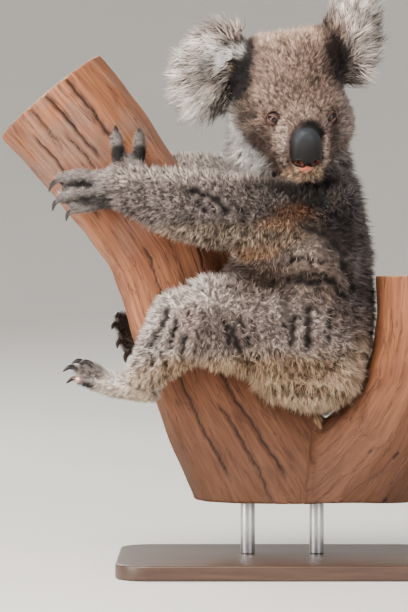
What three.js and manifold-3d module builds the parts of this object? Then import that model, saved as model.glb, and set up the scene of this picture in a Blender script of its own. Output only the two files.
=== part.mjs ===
// A life-size koala hugging a forked length of eucalypt, held by a plain display stand.
// Millimetres, +Z up. The origin is the centre of the stand base's underside, the animal's
// chest faces -X, its left side and its turned face look along -Y.
// Every outline runs out to the tips of the coat.
import * as THREE from 'three';
import { mergeVertices } from 'three/addons/utils/BufferGeometryUtils.js';
import Module from 'manifold-3d';

const wasm = await Module();
wasm.setup();

// ---------------------------------------------------------------- driving dimensions
const GAP = 0.3;                 // clearance between neighbouring pieces
const WELD = 1e-4;               // vertices closer than this are one
const FAR = 900;                 // further from the origin than any piece
const FACETS = {                 // sides and rows of the round shapes
  head: [21, 14], eye: [9, 6], nose: [12, 8], ear: [12, 8],
  torso: [14, 10], neck: [10, 6], ruff: [8, 6], flank: [10, 7], limb: [10, 8], palm: [7, 5],
  digit: [5, 4],
  claw: [5, 4], perch: [12, 12], fork: [12, 9], rod: 12, corner: 3,
};
const CAP_ROWS = 2.5;            // rows of a body that close each of its round ends

const BASE = { length: 350, depth: 270, thick: 16, corner: 38 };
const ROD = { radius: 8, tops: [[-32, 12], [44, 12]] };
const TRUNK_CUT = 76;            // height of the level saw cut under the trunk

const LIMB = [                   // the hugged limb, from its sloping top cut to the trunk
  { at: [-249, 5, 521], wide: 71, deep: 64 },
  { at: [-219, 5, 485], wide: 70, deep: 63 },
  { at: [-188, 5, 445], wide: 67, deep: 61 },
  { at: [-156, 5, 402], wide: 63, deep: 58 },
  { at: [-121, 5, 350], wide: 64, deep: 57 },
  { at: [-98, 5, 285], wide: 66, deep: 57 },
  { at: [-72, 5, 213], wide: 71, deep: 58 },
  { at: [-30, 5, 142], wide: 82, deep: 62 },
  { at: [6, 5, 76], wide: 94, deep: 70 },
  { at: [18, 5, 48], wide: 98, deep: 72 },
];
const STEM = [                   // the second stem of the fork, behind the animal's back
  { at: [158, -22, 322], wide: 50, deep: 50 },
  { at: [158, -22, 262], wide: 51, deep: 51 },
  { at: [148, -18, 202], wide: 54, deep: 52 },
  { at: [118, -8, 142], wide: 62, deep: 56 },
  { at: [76, 0, 92], wide: 74, deep: 64 },
  { at: [44, 5, 60], wide: 76, deep: 66 },
];

const HEAD = { at: [14, -25, 519], yaw: 9, roll: -3.5, pitch: 3 };
const HEAD_LOBES = [             // ellipsoids in the head's own frame, face towards -Y
  { at: [0, 10, 4], size: [60, 68, 62] },      // skull
  { at: [3, 2, 34], size: [50, 54, 36] },      // crown
  { at: [0, -18, -20], size: [58, 48, 46] },   // face
  { at: [-33, 4, 47], size: [23, 32, 20] },    // roots of the ears
  { at: [33, 4, 53], size: [25, 32, 23] },
  { at: [-36, -2, -22], size: [34, 43, 34] },  // cheeks
  { at: [35, -2, -34], size: [34, 44, 37] },
  { at: [0, -42, -50], size: [38, 40, 32] },   // muzzle
  { at: [0, -38, -67], size: [29, 34, 23] },   // chin
];
const LOBE_BLEND = 11;           // how sharply the lobes of the head join
const EYE_RADIUS = 9;
const EYES = { eye_left: [-29, -54.5, -26], eye_right: [31.5, -50.5, -26] };
const NOSE = { at: [-1, -79, -57], size: [18, 14, 22], tilt: 12, belly: 0.16 };

const EAR_CUP = { deep: 11, tight: 3 };  // the hollow in the front of an ear
const EARS = {
  ear_left: { at: [-70, -15, 548], size: [41, 27, 61], lean: 24, turn: 22 },
  ear_right: { at: [77, -9, 580], size: [38, 26, 56], lean: 12, turn: -24 },
};

const TORSO = [
  { at: [52, 5, 216], wide: 52, deep: 70 },
  { at: [50, 5, 239], wide: 68, deep: 86 },
  { at: [39, 5, 296], wide: 75, deep: 89 },
  { at: [34, 5, 362], wide: 73, deep: 84 },
  { at: [31, 3, 408], wide: 66, deep: 74 },
];
const NECK = [
  { at: [28, 0, 436], wide: 62, deep: 66 },
  { at: [20, -6, 478], wide: 57, deep: 62 },
];
const RUFF = [
  { at: [-27, 16, 448], wide: 34, deep: 42 },
  { at: [-26, 14, 474], wide: 35, deep: 44 },
  { at: [-20, 10, 496], wide: 36, deep: 44 },
];
const HAUNCH_LEFT = [
  { at: [-2, -56, 219], wide: 38, deep: 36 },
  { at: [28, -50, 215], wide: 44, deep: 38 },
  { at: [58, -42, 221], wide: 46, deep: 40 },
];
const HAUNCH_RIGHT = [
  { at: [0, 62, 219], wide: 38, deep: 34 },
  { at: [28, 58, 215], wide: 44, deep: 38 },
  { at: [58, 52, 221], wide: 46, deep: 40 },
];
const FLANK = [                  // the loose fold of the left flank, under and behind the arm
  { at: [-36, -50, 318], wide: 32, deep: 31 },
  { at: [15, -80, 345], wide: 55, deep: 38 },
  { at: [57, -64, 345], wide: 53, deep: 37 },
];
const CHEST_FLOOR = 342;         // the chest is parted from the belly at this height
const BELLY_FLOOR = 258;         // and the belly from the rump at this one

const ARM_LEFT = {
  upper: [
    { at: [52, -48, 394], wide: 44, deep: 42 },
    { at: [4, -76, 386], wide: 42, deep: 40 },
    { at: [-40, -88, 389], wide: 50, deep: 38 },
  ],
  fore: [
    { at: [-48, -90, 389], wide: 44, deep: 33 },
    { at: [-78, -94, 393], wide: 47, deep: 36 },
    { at: [-110, -96, 399], wide: 42, deep: 34 },
    { at: [-149, -91, 410], wide: 33, deep: 27 },
    { at: [-166, -87, 414], wide: 27, deep: 21 },
  ],
  palm: [
    { at: [-166, -83, 417], wide: 25, deep: 15 },
    { at: [-192, -74, 415], wide: 24, deep: 13 },
  ],
};
const ARM_RIGHT = {
  upper: [
    { at: [20, 50, 404], wide: 46, deep: 40 },
    { at: [-24, 82, 416], wide: 43, deep: 37 },
    { at: [-60, 98, 427], wide: 43, deep: 34 },
  ],
  fore: [
    { at: [-66, 101, 428], wide: 37, deep: 29 },
    { at: [-92, 106, 431], wide: 40, deep: 32 },
    { at: [-118, 107, 433], wide: 36, deep: 30 },
    { at: [-146, 102, 436], wide: 28, deep: 25 },
    { at: [-160, 96, 439], wide: 25, deep: 20 },
  ],
  palm: [
    { at: [-160, 90, 441], wide: 24, deep: 15 },
    { at: [-184, 84, 442], wide: 24, deep: 13 },
  ],
};
const LEG_LEFT = {
  thigh: [
    { at: [54, -44, 244], wide: 54, deep: 40 },
    { at: [-12, -78, 260], wide: 57, deep: 46 },
    { at: [-78, -96, 276], wide: 56, deep: 45 },
  ],
  shin: [
    { at: [-97, -94, 272], wide: 48, deep: 38 },
    { at: [-109, -90, 258], wide: 46, deep: 38 },
    { at: [-124, -81, 240], wide: 34, deep: 32 },
    { at: [-143, -66, 217], wide: 26, deep: 25 },
  ],
  foot: [
    { at: [-140, -57, 198], wide: 16, deep: 20 },
    { at: [-165, -53, 202], wide: 16, deep: 20 },
    { at: [-193, -55, 208], wide: 16, deep: 21 },
  ],
};
const LEG_RIGHT = {
  thigh: [
    { at: [48, 46, 240], wide: 46, deep: 36 },
    { at: [-15, 84, 258], wide: 54, deep: 44 },
    { at: [-70, 102, 270], wide: 52, deep: 42 },
  ],
  shin: [
    { at: [-84, 103, 264], wide: 38, deep: 33 },
    { at: [-98, 102, 254], wide: 39, deep: 35 },
    { at: [-113, 98, 245], wide: 32, deep: 30 },
    { at: [-130, 88, 238], wide: 24, deep: 24 },
  ],
  foot: [
    { at: [-122, 86, 238], wide: 18, deep: 18 },
    { at: [-143, 74, 244], wide: 18, deep: 17 },
    { at: [-162, 56, 252], wide: 18, deep: 15 },
  ],
};

// Each digit is a bone line of three points; its claw carries on from the last of them.
const FINGER = { root: 10.5, knuckle: 10, tip: 8.8 };
const TOE = { root: 9, knuckle: 8, tip: 6.5 };
const CLAW = { root: 4.4, middle: 3.5, tip: 0.8, sunk: 5, flat: 0.8 };
const DIGITS = {
  hand_left: [
    { name: 'one', bones: [[-152, -82, 432], [-149, -73, 454], [-149, -63, 472]],
      claw: [[-150, -54, 480], [-151, -49, 481]] },
    { name: 'two', bones: [[-170, -84, 430], [-172, -76, 454], [-174, -67, 472]],
      claw: [[-175, -60, 480], [-176, -58, 484]] },
    { name: 'three', bones: [[-188, -75, 426], [-214, -69, 430], [-235, -54, 427]],
      claw: [[-245, -44, 423], [-249, -37, 414]] },
    { name: 'four', bones: [[-192, -73, 412], [-216, -67, 410], [-234, -53, 406]],
      claw: [[-243, -43, 402], [-245, -36, 393]] },
    { name: 'five', bones: [[-186, -70, 401], [-206, -63, 397], [-220, -52, 395]],
      claw: [[-229, -44, 390], [-230, -37, 382]] },
  ],
  hand_right: [
    { name: 'one', bones: [[-156, 90, 450], [-147, 83, 466], [-144, 74, 477]],
      claw: [[-146, 67, 485], [-151, 63, 491]] },
    { name: 'two', bones: [[-174, 90, 454], [-169, 85, 472], [-168, 76, 485]],
      claw: [[-171, 71, 494], [-177, 69, 499]] },
    { name: 'three', bones: [[-186, 84, 452], [-209, 80, 460], [-227, 70, 462]],
      claw: [[-237, 62, 461], [-243, 54, 454]] },
    { name: 'four', bones: [[-188, 83, 440], [-210, 78, 442], [-227, 67, 440]],
      claw: [[-236, 57, 438], [-241, 49, 431]] },
    { name: 'five', bones: [[-182, 81, 428], [-202, 76, 426], [-217, 66, 423]],
      claw: [[-226, 56, 420], [-229, 48, 413]] },
  ],
  foot_left: [
    { name: 'one', bones: [[-192, -66, 204], [-207, -71, 207], [-216, -74, 211]] },
    { name: 'two', bones: [[-186, -66, 214], [-197, -72, 223], [-202, -74, 226]],
      claw: [[-207, -78, 231], [-213, -83, 228]] },
    { name: 'three', bones: [[-190, -60, 216], [-204, -62, 224], [-210, -63, 227]],
      claw: [[-216, -67, 232], [-222, -71, 228]] },
    { name: 'four', bones: [[-194, -52, 213], [-211, -52, 220], [-219, -52, 222]],
      claw: [[-226, -55, 225], [-232, -59, 219]] },
    { name: 'five', bones: [[-194, -44, 206], [-208, -41, 209], [-216, -40, 211]],
      claw: [[-223, -42, 212], [-229, -46, 206]] },
  ],
  foot_right: [
    { name: 'one', bones: [[-148, 70, 258], [-144, 68, 274], [-142, 64, 284]] },
    { name: 'two', bones: [[-158, 56, 266], [-168, 42, 275], [-173, 30, 279]],
      claw: [[-177, 21, 281], [-178, 13, 276]] },
    { name: 'three', bones: [[-164, 54, 260], [-174, 40, 267], [-178, 28, 270]],
      claw: [[-181, 19, 270], [-182, 11, 264]] },
    { name: 'four', bones: [[-163, 54, 250], [-171, 40, 252], [-173, 28, 252]],
      claw: [[-176, 19, 250], [-176, 11, 243]] },
    { name: 'five', bones: [[-158, 56, 240], [-164, 44, 239], [-166, 32, 238]],
      claw: [[-168, 23, 234], [-167, 15, 227]] },
  ],
};

const COLOURS = {
  fur: { color: 0x8b8079, roughness: 0.95, metalness: 0 },
  leather: { color: 0x2b2c30, roughness: 0.45, metalness: 0 },
  eye: { color: 0x1c120d, roughness: 0.08, metalness: 0 },
  claw: { color: 0x17161a, roughness: 0.35, metalness: 0 },
  bark: { color: 0x9a5a3c, roughness: 0.85, metalness: 0 },
  base: { color: 0x3c2b22, roughness: 0.5, metalness: 0 },
  rod: { color: 0xa6a8ab, roughness: 0.35, metalness: 1 },
};

// ---------------------------------------------------------------- shaping helpers

/** Turns a closed geometry into a solid, with its shared vertices welded. */
function solidOf(geometry) {
  const bare = geometry.clone();
  bare.deleteAttribute('normal');
  bare.deleteAttribute('uv');
  const welded = mergeVertices(bare, WELD);
  return new wasm.Manifold(new wasm.Mesh({
    numProp: 3,
    vertProperties: new Float32Array(welded.attributes.position.array),
    triVerts: new Uint32Array(welded.index.array),
  }));
}

/** Turns a solid back into a geometry for a mesh. */
function geometryOf(solid) {
  const mesh = solid.getMesh();
  const geometry = new THREE.BufferGeometry();
  geometry.setAttribute('position', new THREE.BufferAttribute(mesh.vertProperties, 3));
  geometry.setIndex(new THREE.BufferAttribute(mesh.triVerts, 1));
  geometry.computeVertexNormals();
  return geometry;
}

/** Keeps the biggest piece of a solid, so that a cut leaves no crumbs. */
function biggestPiece(solid) {
  const pieces = solid.decompose();
  return pieces.reduce((best, piece) => (piece.volume() > best.volume() ? piece : best));
}

/** Moves every vertex of a geometry by a function of its place. */
function reshape(geometry, move) {
  const place = geometry.attributes.position;
  const point = new THREE.Vector3();
  for (let i = 0; i < place.count; i += 1) {
    point.fromBufferAttribute(place, i);
    move(point);
    place.setXYZ(i, point.x, point.y, point.z);
  }
  return geometry;
}

/** Reads the radii of a run of stations at fraction u of the way along them. */
function radiiAt(stations, u) {
  const span = u * (stations.length - 1);
  const low = Math.min(Math.floor(span), stations.length - 2);
  const share = THREE.MathUtils.smoothstep(span - low, 0, 1);
  const mix = (key) => THREE.MathUtils.lerp(stations[low][key], stations[low + 1][key], share);
  return { wide: mix('wide'), deep: mix('deep') };
}

/**
 * A closed body of elliptical sections along a curve through its stations. A section's
 * deep radius lies nearest to the Y axis, its wide radius across it. The ends are round,
 * or flat saw cuts. grow thickens the whole body.
 */
function loft(stations, [sides, rows], { grow = 0, flat = false } = {}) {
  const curve = new THREE.CatmullRomCurve3(stations.map((s) => new THREE.Vector3(...s.at)));
  const capShare = flat ? 1 / rows : Math.min(CAP_ROWS, rows / 3) / rows;
  const depthAxis = new THREE.Vector3(0, 1, 0);
  return reshape(new THREE.SphereGeometry(1, sides, rows), (p) => {
    const v = Math.acos(THREE.MathUtils.clamp(-p.y, -1, 1)) / Math.PI;
    const around = Math.atan2(p.z, p.x);
    const u = THREE.MathUtils.clamp((v - capShare) / (1 - 2 * capShare), 0, 1);
    const end = Math.floor(u + WELD) - Math.floor(1 - u + WELD);  // -1 and 1 on the two caps
    const toPole = end === 0 ? 0 : 1 - Math.min(v, 1 - v) / capShare;
    const { wide, deep } = radiiAt(stations, u);
    const along = curve.getTangent(u);
    const deepAxis = depthAxis.clone().addScaledVector(along, -depthAxis.dot(along)).normalize();
    const wideAxis = new THREE.Vector3().crossVectors(along, deepAxis);
    const angle = toPole * Math.PI / 2;
    const ring = flat ? Math.max(0, 1 - toPole) : Math.cos(angle);
    const beyond = flat ? grow : (Math.min(wide, deep) + grow) * Math.sin(angle);
    p.copy(curve.getPoint(u))
      .addScaledVector(along, end * beyond)
      .addScaledVector(wideAxis, ring * (wide + grow) * Math.cos(around))
      .addScaledVector(deepAxis, ring * (deep + grow) * Math.sin(around));
  });
}

/** How far a ray from the head's centre runs before it leaves an ellipsoid, or 0. */
function reachOf(lobe, ray) {
  const from = lobe.at.map((value, axis) => -value / lobe.size[axis]);
  const step = [ray.x, ray.y, ray.z].map((value, axis) => value / lobe.size[axis]);
  const a = step.reduce((sum, value) => sum + value * value, 0);
  const b = step.reduce((sum, value, axis) => sum + value * from[axis], 0);
  const c = from.reduce((sum, value) => sum + value * value, 0) - 1;
  const inside = b * b - a * c;
  return inside > 0 ? Math.max(0, (-b + Math.sqrt(inside)) / a) : 0;
}

/** The frame that carries the face: turned, tilted and set on the neck. */
function headFrame() {
  const turn = new THREE.Euler(
    THREE.MathUtils.degToRad(HEAD.pitch),
    THREE.MathUtils.degToRad(HEAD.roll),
    THREE.MathUtils.degToRad(HEAD.yaw),
    'ZYX',
  );
  return new THREE.Matrix4().makeRotationFromEuler(turn).setPosition(...HEAD.at);
}

/** The head: a round ball pushed out to where its lobes blend. */
function headShape(grow) {
  const ball = new THREE.SphereGeometry(1, ...FACETS.head).rotateX(Math.PI / 2);
  reshape(ball, (p) => {
    const ray = p.clone().normalize();
    const total = HEAD_LOBES.reduce((sum, lobe) => sum + reachOf(lobe, ray) ** LOBE_BLEND, 0);
    p.copy(ray).multiplyScalar(total ** (1 / LOBE_BLEND) + grow);
  });
  return solidOf(ball.applyMatrix4(headFrame()));
}

/** One eyeball. */
function eyeShape(at, grow) {
  const ball = new THREE.SphereGeometry(EYE_RADIUS + grow, ...FACETS.eye);
  ball.translate(...at);
  return solidOf(ball.applyMatrix4(headFrame()));
}

/** The bare leather pad of the nose, an egg that is broadest low down. */
function noseShape(grow) {
  const pad = new THREE.SphereGeometry(1, ...FACETS.nose);
  reshape(pad, (p) => {
    const belly = 1 - NOSE.belly * p.z;
    p.set(
      p.x * (NOSE.size[0] * belly + grow),
      p.y * (NOSE.size[1] + grow),
      p.z * (NOSE.size[2] + grow),
    );
  });
  pad.rotateX(THREE.MathUtils.degToRad(NOSE.tilt)).translate(...NOSE.at);
  return solidOf(pad.applyMatrix4(headFrame()));
}

/** An ear: a thick round leaf of fur with a hollowed front. */
function earShape(ear, grow) {
  const leaf = new THREE.SphereGeometry(1, ...FACETS.ear);
  reshape(leaf, (p) => {
    const middle = Math.exp(-EAR_CUP.tight * (p.x * p.x + p.z * p.z));
    const hollow = p.y < 0 ? EAR_CUP.deep * middle : 0;
    p.set(
      p.x * (ear.size[0] + grow),
      p.y * (ear.size[1] + grow) + hollow,
      p.z * (ear.size[2] + grow),
    );
  });
  leaf.rotateZ(THREE.MathUtils.degToRad(ear.turn));
  leaf.rotateY(THREE.MathUtils.degToRad(ear.lean));
  leaf.translate(...ear.at);
  return solidOf(leaf);
}

/** A digit along its three bones. */
function digitShape(digit, girth, grow) {
  const radii = [girth.root, girth.knuckle, girth.tip];
  const stations = digit.bones.map((at, i) => ({ at, wide: radii[i], deep: radii[i] }));
  return solidOf(loft(stations, FACETS.digit, { grow }));
}

/** A curved claw that starts inside the tip of its digit. */
function clawShape(digit, grow) {
  const tip = new THREE.Vector3(...digit.bones[2]);
  const back = new THREE.Vector3(...digit.bones[1]).sub(tip).setLength(CLAW.sunk);
  const stations = [
    { at: tip.clone().add(back).toArray(), wide: CLAW.root, deep: CLAW.root * CLAW.flat },
    { at: digit.claw[0], wide: CLAW.middle, deep: CLAW.middle * CLAW.flat },
    { at: digit.claw[1], wide: CLAW.tip, deep: CLAW.tip },
  ];
  return solidOf(loft(stations, FACETS.claw, { grow }));
}

/** A slab between two heights, wide enough to cut any piece. */
function slab(low, high) {
  const plate = new THREE.BoxGeometry(2 * FAR, 2 * FAR, high - low);
  return solidOf(plate.translate(0, 0, (low + high) / 2));
}

/** Joins a list of solids. */
function joined(solids) {
  return solids.reduce((sum, solid) => sum.add(solid));
}

/** A round-cornered flat board lying on the ground. */
function baseShape() {
  const half = { x: BASE.length / 2, y: BASE.depth / 2 };
  const outline = new THREE.Shape();
  outline.moveTo(-half.x + BASE.corner, -half.y);
  outline.lineTo(half.x - BASE.corner, -half.y);
  outline.absarc(half.x - BASE.corner, -half.y + BASE.corner, BASE.corner, -Math.PI / 2, 0);
  outline.absarc(half.x - BASE.corner, half.y - BASE.corner, BASE.corner, 0, Math.PI / 2);
  outline.absarc(-half.x + BASE.corner, half.y - BASE.corner, BASE.corner, Math.PI / 2, Math.PI);
  outline.absarc(-half.x + BASE.corner, -half.y + BASE.corner, BASE.corner, Math.PI, Math.PI * 1.5);
  return solidOf(new THREE.ExtrudeGeometry(outline, {
    depth: BASE.thick,
    bevelEnabled: false,
    curveSegments: FACETS.corner,
  }));
}

/** An upright rod from the top of the base to the underside of the trunk. */
function rodShape([x, y]) {
  const low = BASE.thick + GAP;
  const high = TRUNK_CUT - GAP;
  const rod = new THREE.CylinderGeometry(ROD.radius, ROD.radius, high - low, FACETS.rod);
  return solidOf(rod.rotateX(Math.PI / 2).translate(x, y, (low + high) / 2));
}

// ---------------------------------------------------------------- the wood

const aboveCut = slab(TRUNK_CUT, FAR);
const limb = (grow) => solidOf(loft(LIMB, FACETS.perch, { grow, flat: true }));
const stem = (grow) => solidOf(loft(STEM, FACETS.fork, { grow, flat: true }));
const limbSolid = limb(0).intersect(aboveCut);
const stemSolid = biggestPiece(stem(0).intersect(aboveCut).subtract(limb(GAP)));
const woodGrown = limb(GAP).add(stem(GAP));

// ---------------------------------------------------------------- the animal

const clawed = [];
for (const [limbName, digits] of Object.entries(DIGITS)) {
  for (const digit of digits.filter((entry) => entry.claw)) {
    clawed.push({ name: `claw_${limbName}_${digit.name}`, digit });
  }
}
const claws = clawed.map(({ name, digit }) => ({
  name,
  solid: biggestPiece(clawShape(digit, 0).subtract(woodGrown)),
}));
const clawsGrown = joined(clawed.map(({ digit }) => clawShape(digit, GAP)));

/** A hand or foot: its palm or sole with all its digits. */
function extremity(name, core, girth, grow) {
  const body = solidOf(loft(core, FACETS.palm, { grow }));
  return joined([body, ...DIGITS[name].map((digit) => digitShape(digit, girth, grow))]);
}

const limbLoft = (stations, grow) => solidOf(loft(stations, FACETS.limb, { grow }));
const torso = (grow) => solidOf(loft(TORSO, FACETS.torso, { grow }));
const ruff = (grow) => solidOf(loft(RUFF, FACETS.ruff, { grow }));
const flank = (grow) => solidOf(loft(FLANK, FACETS.flank, { grow }));

/** The rump: the low end of the torso with a haunch on each side of the limb. */
function rumpShape(grow) {
  const haunches = [HAUNCH_LEFT, HAUNCH_RIGHT].map((stations) => limbLoft(stations, grow));
  return joined([torso(grow), ...haunches]).intersect(slab(0, BELLY_FLOOR));
}

// In this order, each piece of flesh keeps clear of all the pieces before it.
const fleshMakers = {
  head: headShape,
  ear_left: (grow) => earShape(EARS.ear_left, grow),
  ear_right: (grow) => earShape(EARS.ear_right, grow),
  neck: (grow) => solidOf(loft(NECK, FACETS.neck, { grow })).add(ruff(grow)),
  chest: (grow) => torso(grow).intersect(slab(CHEST_FLOOR - grow, FAR)),
  belly: (grow) => torso(grow).intersect(slab(BELLY_FLOOR - grow, CHEST_FLOOR)).add(flank(grow)),
  rump: rumpShape,
  upper_arm_left: (grow) => limbLoft(ARM_LEFT.upper, grow),
  upper_arm_right: (grow) => limbLoft(ARM_RIGHT.upper, grow),
  hand_left: (grow) => extremity('hand_left', ARM_LEFT.palm, FINGER, grow),
  hand_right: (grow) => extremity('hand_right', ARM_RIGHT.palm, FINGER, grow),
  forearm_left: (grow) => limbLoft(ARM_LEFT.fore, grow),
  forearm_right: (grow) => limbLoft(ARM_RIGHT.fore, grow),
  thigh_left: (grow) => limbLoft(LEG_LEFT.thigh, grow),
  thigh_right: (grow) => limbLoft(LEG_RIGHT.thigh, grow),
  foot_left: (grow) => extremity('foot_left', LEG_LEFT.foot, TOE, grow),
  foot_right: (grow) => extremity('foot_right', LEG_RIGHT.foot, TOE, grow),
  shin_left: (grow) => limbLoft(LEG_LEFT.shin, grow),
  shin_right: (grow) => limbLoft(LEG_RIGHT.shin, grow),
};

let taken = joined([
  woodGrown,
  clawsGrown,
  ...Object.values(EYES).map((at) => eyeShape(at, GAP)),
  noseShape(GAP),
]);
const flesh = Object.entries(fleshMakers).map(([name, make]) => {
  const solid = biggestPiece(make(0).subtract(taken));
  taken = taken.add(make(GAP));
  return { name, solid };
});

// ---------------------------------------------------------------- the scene graph

const koala = new THREE.Group();
koala.name = 'koala_on_perch';

/** Adds one named mesh in a given finish. */
function addPiece(name, solid, finish) {
  const mesh = new THREE.Mesh(geometryOf(solid), new THREE.MeshStandardMaterial(COLOURS[finish]));
  mesh.name = name;
  koala.add(mesh);
}

flesh.forEach(({ name, solid }) => addPiece(name, solid, 'fur'));
Object.entries(EYES).forEach(([name, at]) => addPiece(name, eyeShape(at, 0), 'eye'));
addPiece('nose', noseShape(0), 'leather');
claws.forEach(({ name, solid }) => addPiece(name, solid, 'claw'));
addPiece('perch_limb', limbSolid, 'bark');
addPiece('perch_stem', stemSolid, 'bark');
addPiece('stand_base', baseShape(), 'base');
ROD.tops.forEach((place, i) => addPiece(`stand_rod_${i + 1}`, rodShape(place), 'rod'));

export default koala;
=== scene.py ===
"""Dresses a life-size koala on a forked eucalypt perch, from its skin and coat to the stand."""
import logging
import math
from dataclasses import dataclass, field
from enum import Enum
from typing import Any, Iterable, Sequence

import bmesh
import bpy
import numpy as np
from mathutils import Euler, Matrix, Vector
from mathutils.bvhtree import BVHTree
from mathutils.kdtree import KDTree


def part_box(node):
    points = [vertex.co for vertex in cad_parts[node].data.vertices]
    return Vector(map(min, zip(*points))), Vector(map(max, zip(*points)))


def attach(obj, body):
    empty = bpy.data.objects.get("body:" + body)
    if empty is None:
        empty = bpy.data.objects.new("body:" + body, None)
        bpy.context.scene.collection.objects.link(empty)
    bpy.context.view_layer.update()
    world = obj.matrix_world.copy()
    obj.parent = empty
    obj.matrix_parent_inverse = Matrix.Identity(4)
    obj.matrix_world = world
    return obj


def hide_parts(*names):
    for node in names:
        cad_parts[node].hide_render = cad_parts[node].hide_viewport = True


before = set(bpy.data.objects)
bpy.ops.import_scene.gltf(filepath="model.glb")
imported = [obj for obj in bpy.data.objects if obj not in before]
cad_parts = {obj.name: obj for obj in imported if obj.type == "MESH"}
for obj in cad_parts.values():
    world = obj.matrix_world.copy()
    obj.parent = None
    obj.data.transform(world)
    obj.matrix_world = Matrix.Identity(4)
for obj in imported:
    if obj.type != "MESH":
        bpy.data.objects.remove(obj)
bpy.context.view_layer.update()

LOG = logging.getLogger("koala")
MM = 0.001
BODY = "root"

FLESH = (
    "head", "ear_left", "ear_right", "neck", "chest", "belly", "rump",
    "upper_arm_left", "upper_arm_right", "hand_left", "hand_right",
    "forearm_left", "forearm_right", "thigh_left", "thigh_right",
    "foot_left", "foot_right", "shin_left", "shin_right",
)

HEAD_FRAME = Matrix.Translation(Vector((14, -25, 519)) * MM) @ Euler(
    (math.radians(3), math.radians(-3.5), math.radians(9)), "XYZ"
).to_matrix().to_4x4()
HEAD_AXES = np.array(HEAD_FRAME.to_3x3())
HEAD_AT = np.array(HEAD_FRAME.translation)


def on_head(x: float, y: float, z: float) -> np.ndarray:
    """Turns a place in the head's own millimetres into metres in the frame."""
    return HEAD_AT + HEAD_AXES @ (np.array((x, y, z)) * MM)


EYES = {"eye_left": (-29.0, -50.6, -26.0), "eye_right": (31.5, -46.8, -26.0)}
NOSE_AT = (-1.0, -77.5, -57.0)


# ---------------------------------------------------------------- numbers and meshes


def linear(tint: Sequence[float]) -> np.ndarray:
    """Turns display colours of 0 to 255 into linear light."""
    value = np.asarray(tint, float) / 255
    return np.where(value <= 0.04045, value / 12.92, ((value + 0.055) / 1.055) ** 2.4)


def unit(vectors: np.ndarray) -> np.ndarray:
    """Scales each row to length one."""
    return vectors / np.maximum(np.linalg.norm(vectors, axis=-1, keepdims=True), 1e-12)


def ease(value: np.ndarray) -> np.ndarray:
    """A smooth step from 0 to 1."""
    value = np.clip(value, 0, 1)
    return value * value * (3 - 2 * value)


def numbers(items: Any, name: str, width: int = 3, kind: type = np.float64) -> np.ndarray:
    """Reads one field of a mesh's vertices, edges, loops or faces as an array."""
    found = np.empty(len(items) * width, kind)
    items.foreach_get(name, found)
    return found.reshape(-1, width) if width > 1 else found


def nearest_of(places: np.ndarray, points: np.ndarray) -> np.ndarray:
    """For each point, the index of the nearest of some places."""
    tree = KDTree(len(places))
    for index, place in enumerate(places.tolist()):
        tree.insert(place, index)
    tree.balance()
    return np.array([tree.find(point)[1] for point in points.tolist()])


def rows_dot(first: np.ndarray, second: np.ndarray) -> np.ndarray:
    """The dot product of each pair of rows, as a column."""
    return np.sum(first * second, 1, keepdims=True)


def triangles(mesh: bpy.types.Mesh) -> np.ndarray:
    """The corners of each of a mesh's triangles."""
    mesh.calc_loop_triangles()
    return numbers(mesh.loop_triangles, "vertices", 3, np.int32)


def merged_copy(names: Iterable[str], swell: float = 0.0) -> bmesh.types.BMesh:
    """Copies CAD nodes into one bmesh, with their loose triangles merged.

    Args:
        names: the nodes to copy.
        swell: how far each node's surface is moved out.

    Returns:
        A bmesh that holds all the nodes as closed shells.
    """
    whole = bmesh.new()
    for name in names:
        part = bmesh.new()
        part.from_mesh(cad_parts[name].data)
        bmesh.ops.remove_doubles(part, verts=part.verts, dist=1e-5)
        part.normal_update()
        for vert in part.verts:
            vert.co += vert.normal * swell
        piece = bpy.data.meshes.new("part")
        part.to_mesh(piece)
        part.free()
        whole.from_mesh(piece)
        bpy.data.meshes.remove(piece)
    return whole


def linked(name: str, data: Any) -> bpy.types.Object:
    """Puts some data in the scene as an object."""
    piece = bpy.data.objects.new(name, data)
    bpy.context.scene.collection.objects.link(piece)
    return piece


def piece_of(name: str, shape: bmesh.types.BMesh) -> bpy.types.Object:
    """Makes an object of a finished bmesh and links it to the scene."""
    mesh = bpy.data.meshes.new(name)
    shape.to_mesh(mesh)
    shape.free()
    mesh.shade_smooth()
    return linked(name, mesh)


def settle(piece: bpy.types.Object) -> None:
    """Applies a piece's modifiers to its mesh."""
    graph = bpy.context.evaluated_depsgraph_get()
    mesh = bpy.data.meshes.new_from_object(piece.evaluated_get(graph))
    old = piece.data
    piece.modifiers.clear()
    piece.data = mesh
    bpy.data.meshes.remove(old)


def modified(piece: bpy.types.Object, kind: str, **settings: Any) -> None:
    """Adds one modifier with its settings."""
    modifier = piece.modifiers.new(kind.lower(), kind)
    for name, value in settings.items():
        setattr(modifier, name, value)


def drift(points: np.ndarray, rng: np.random.Generator) -> np.ndarray:
    """A slow, patchy wandering over places in metres, from about -1 to 1."""
    total = np.zeros(len(points))
    for size in (0.06, 0.045, 0.034, 0.026, 0.02, 0.015):
        way = unit(rng.normal(size=3))
        total += np.sin(points @ way * (2 * np.pi / size) + rng.uniform(0, 2 * np.pi))
    return total / 2.4


def store(mesh: bpy.types.Mesh, name: str, kind: str, values: np.ndarray) -> None:
    """Writes a point attribute of a mesh."""
    spot = {"FLOAT": "value", "FLOAT_VECTOR": "vector", "FLOAT_COLOR": "color"}[kind]
    if kind == "FLOAT_COLOR" and values.shape[1] == 3:
        values = np.hstack((values, np.ones((len(values), 1))))
    layer = mesh.attributes.new(name, kind, "POINT")
    layer.data.foreach_set(spot, np.ascontiguousarray(values, np.float32).ravel())


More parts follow.
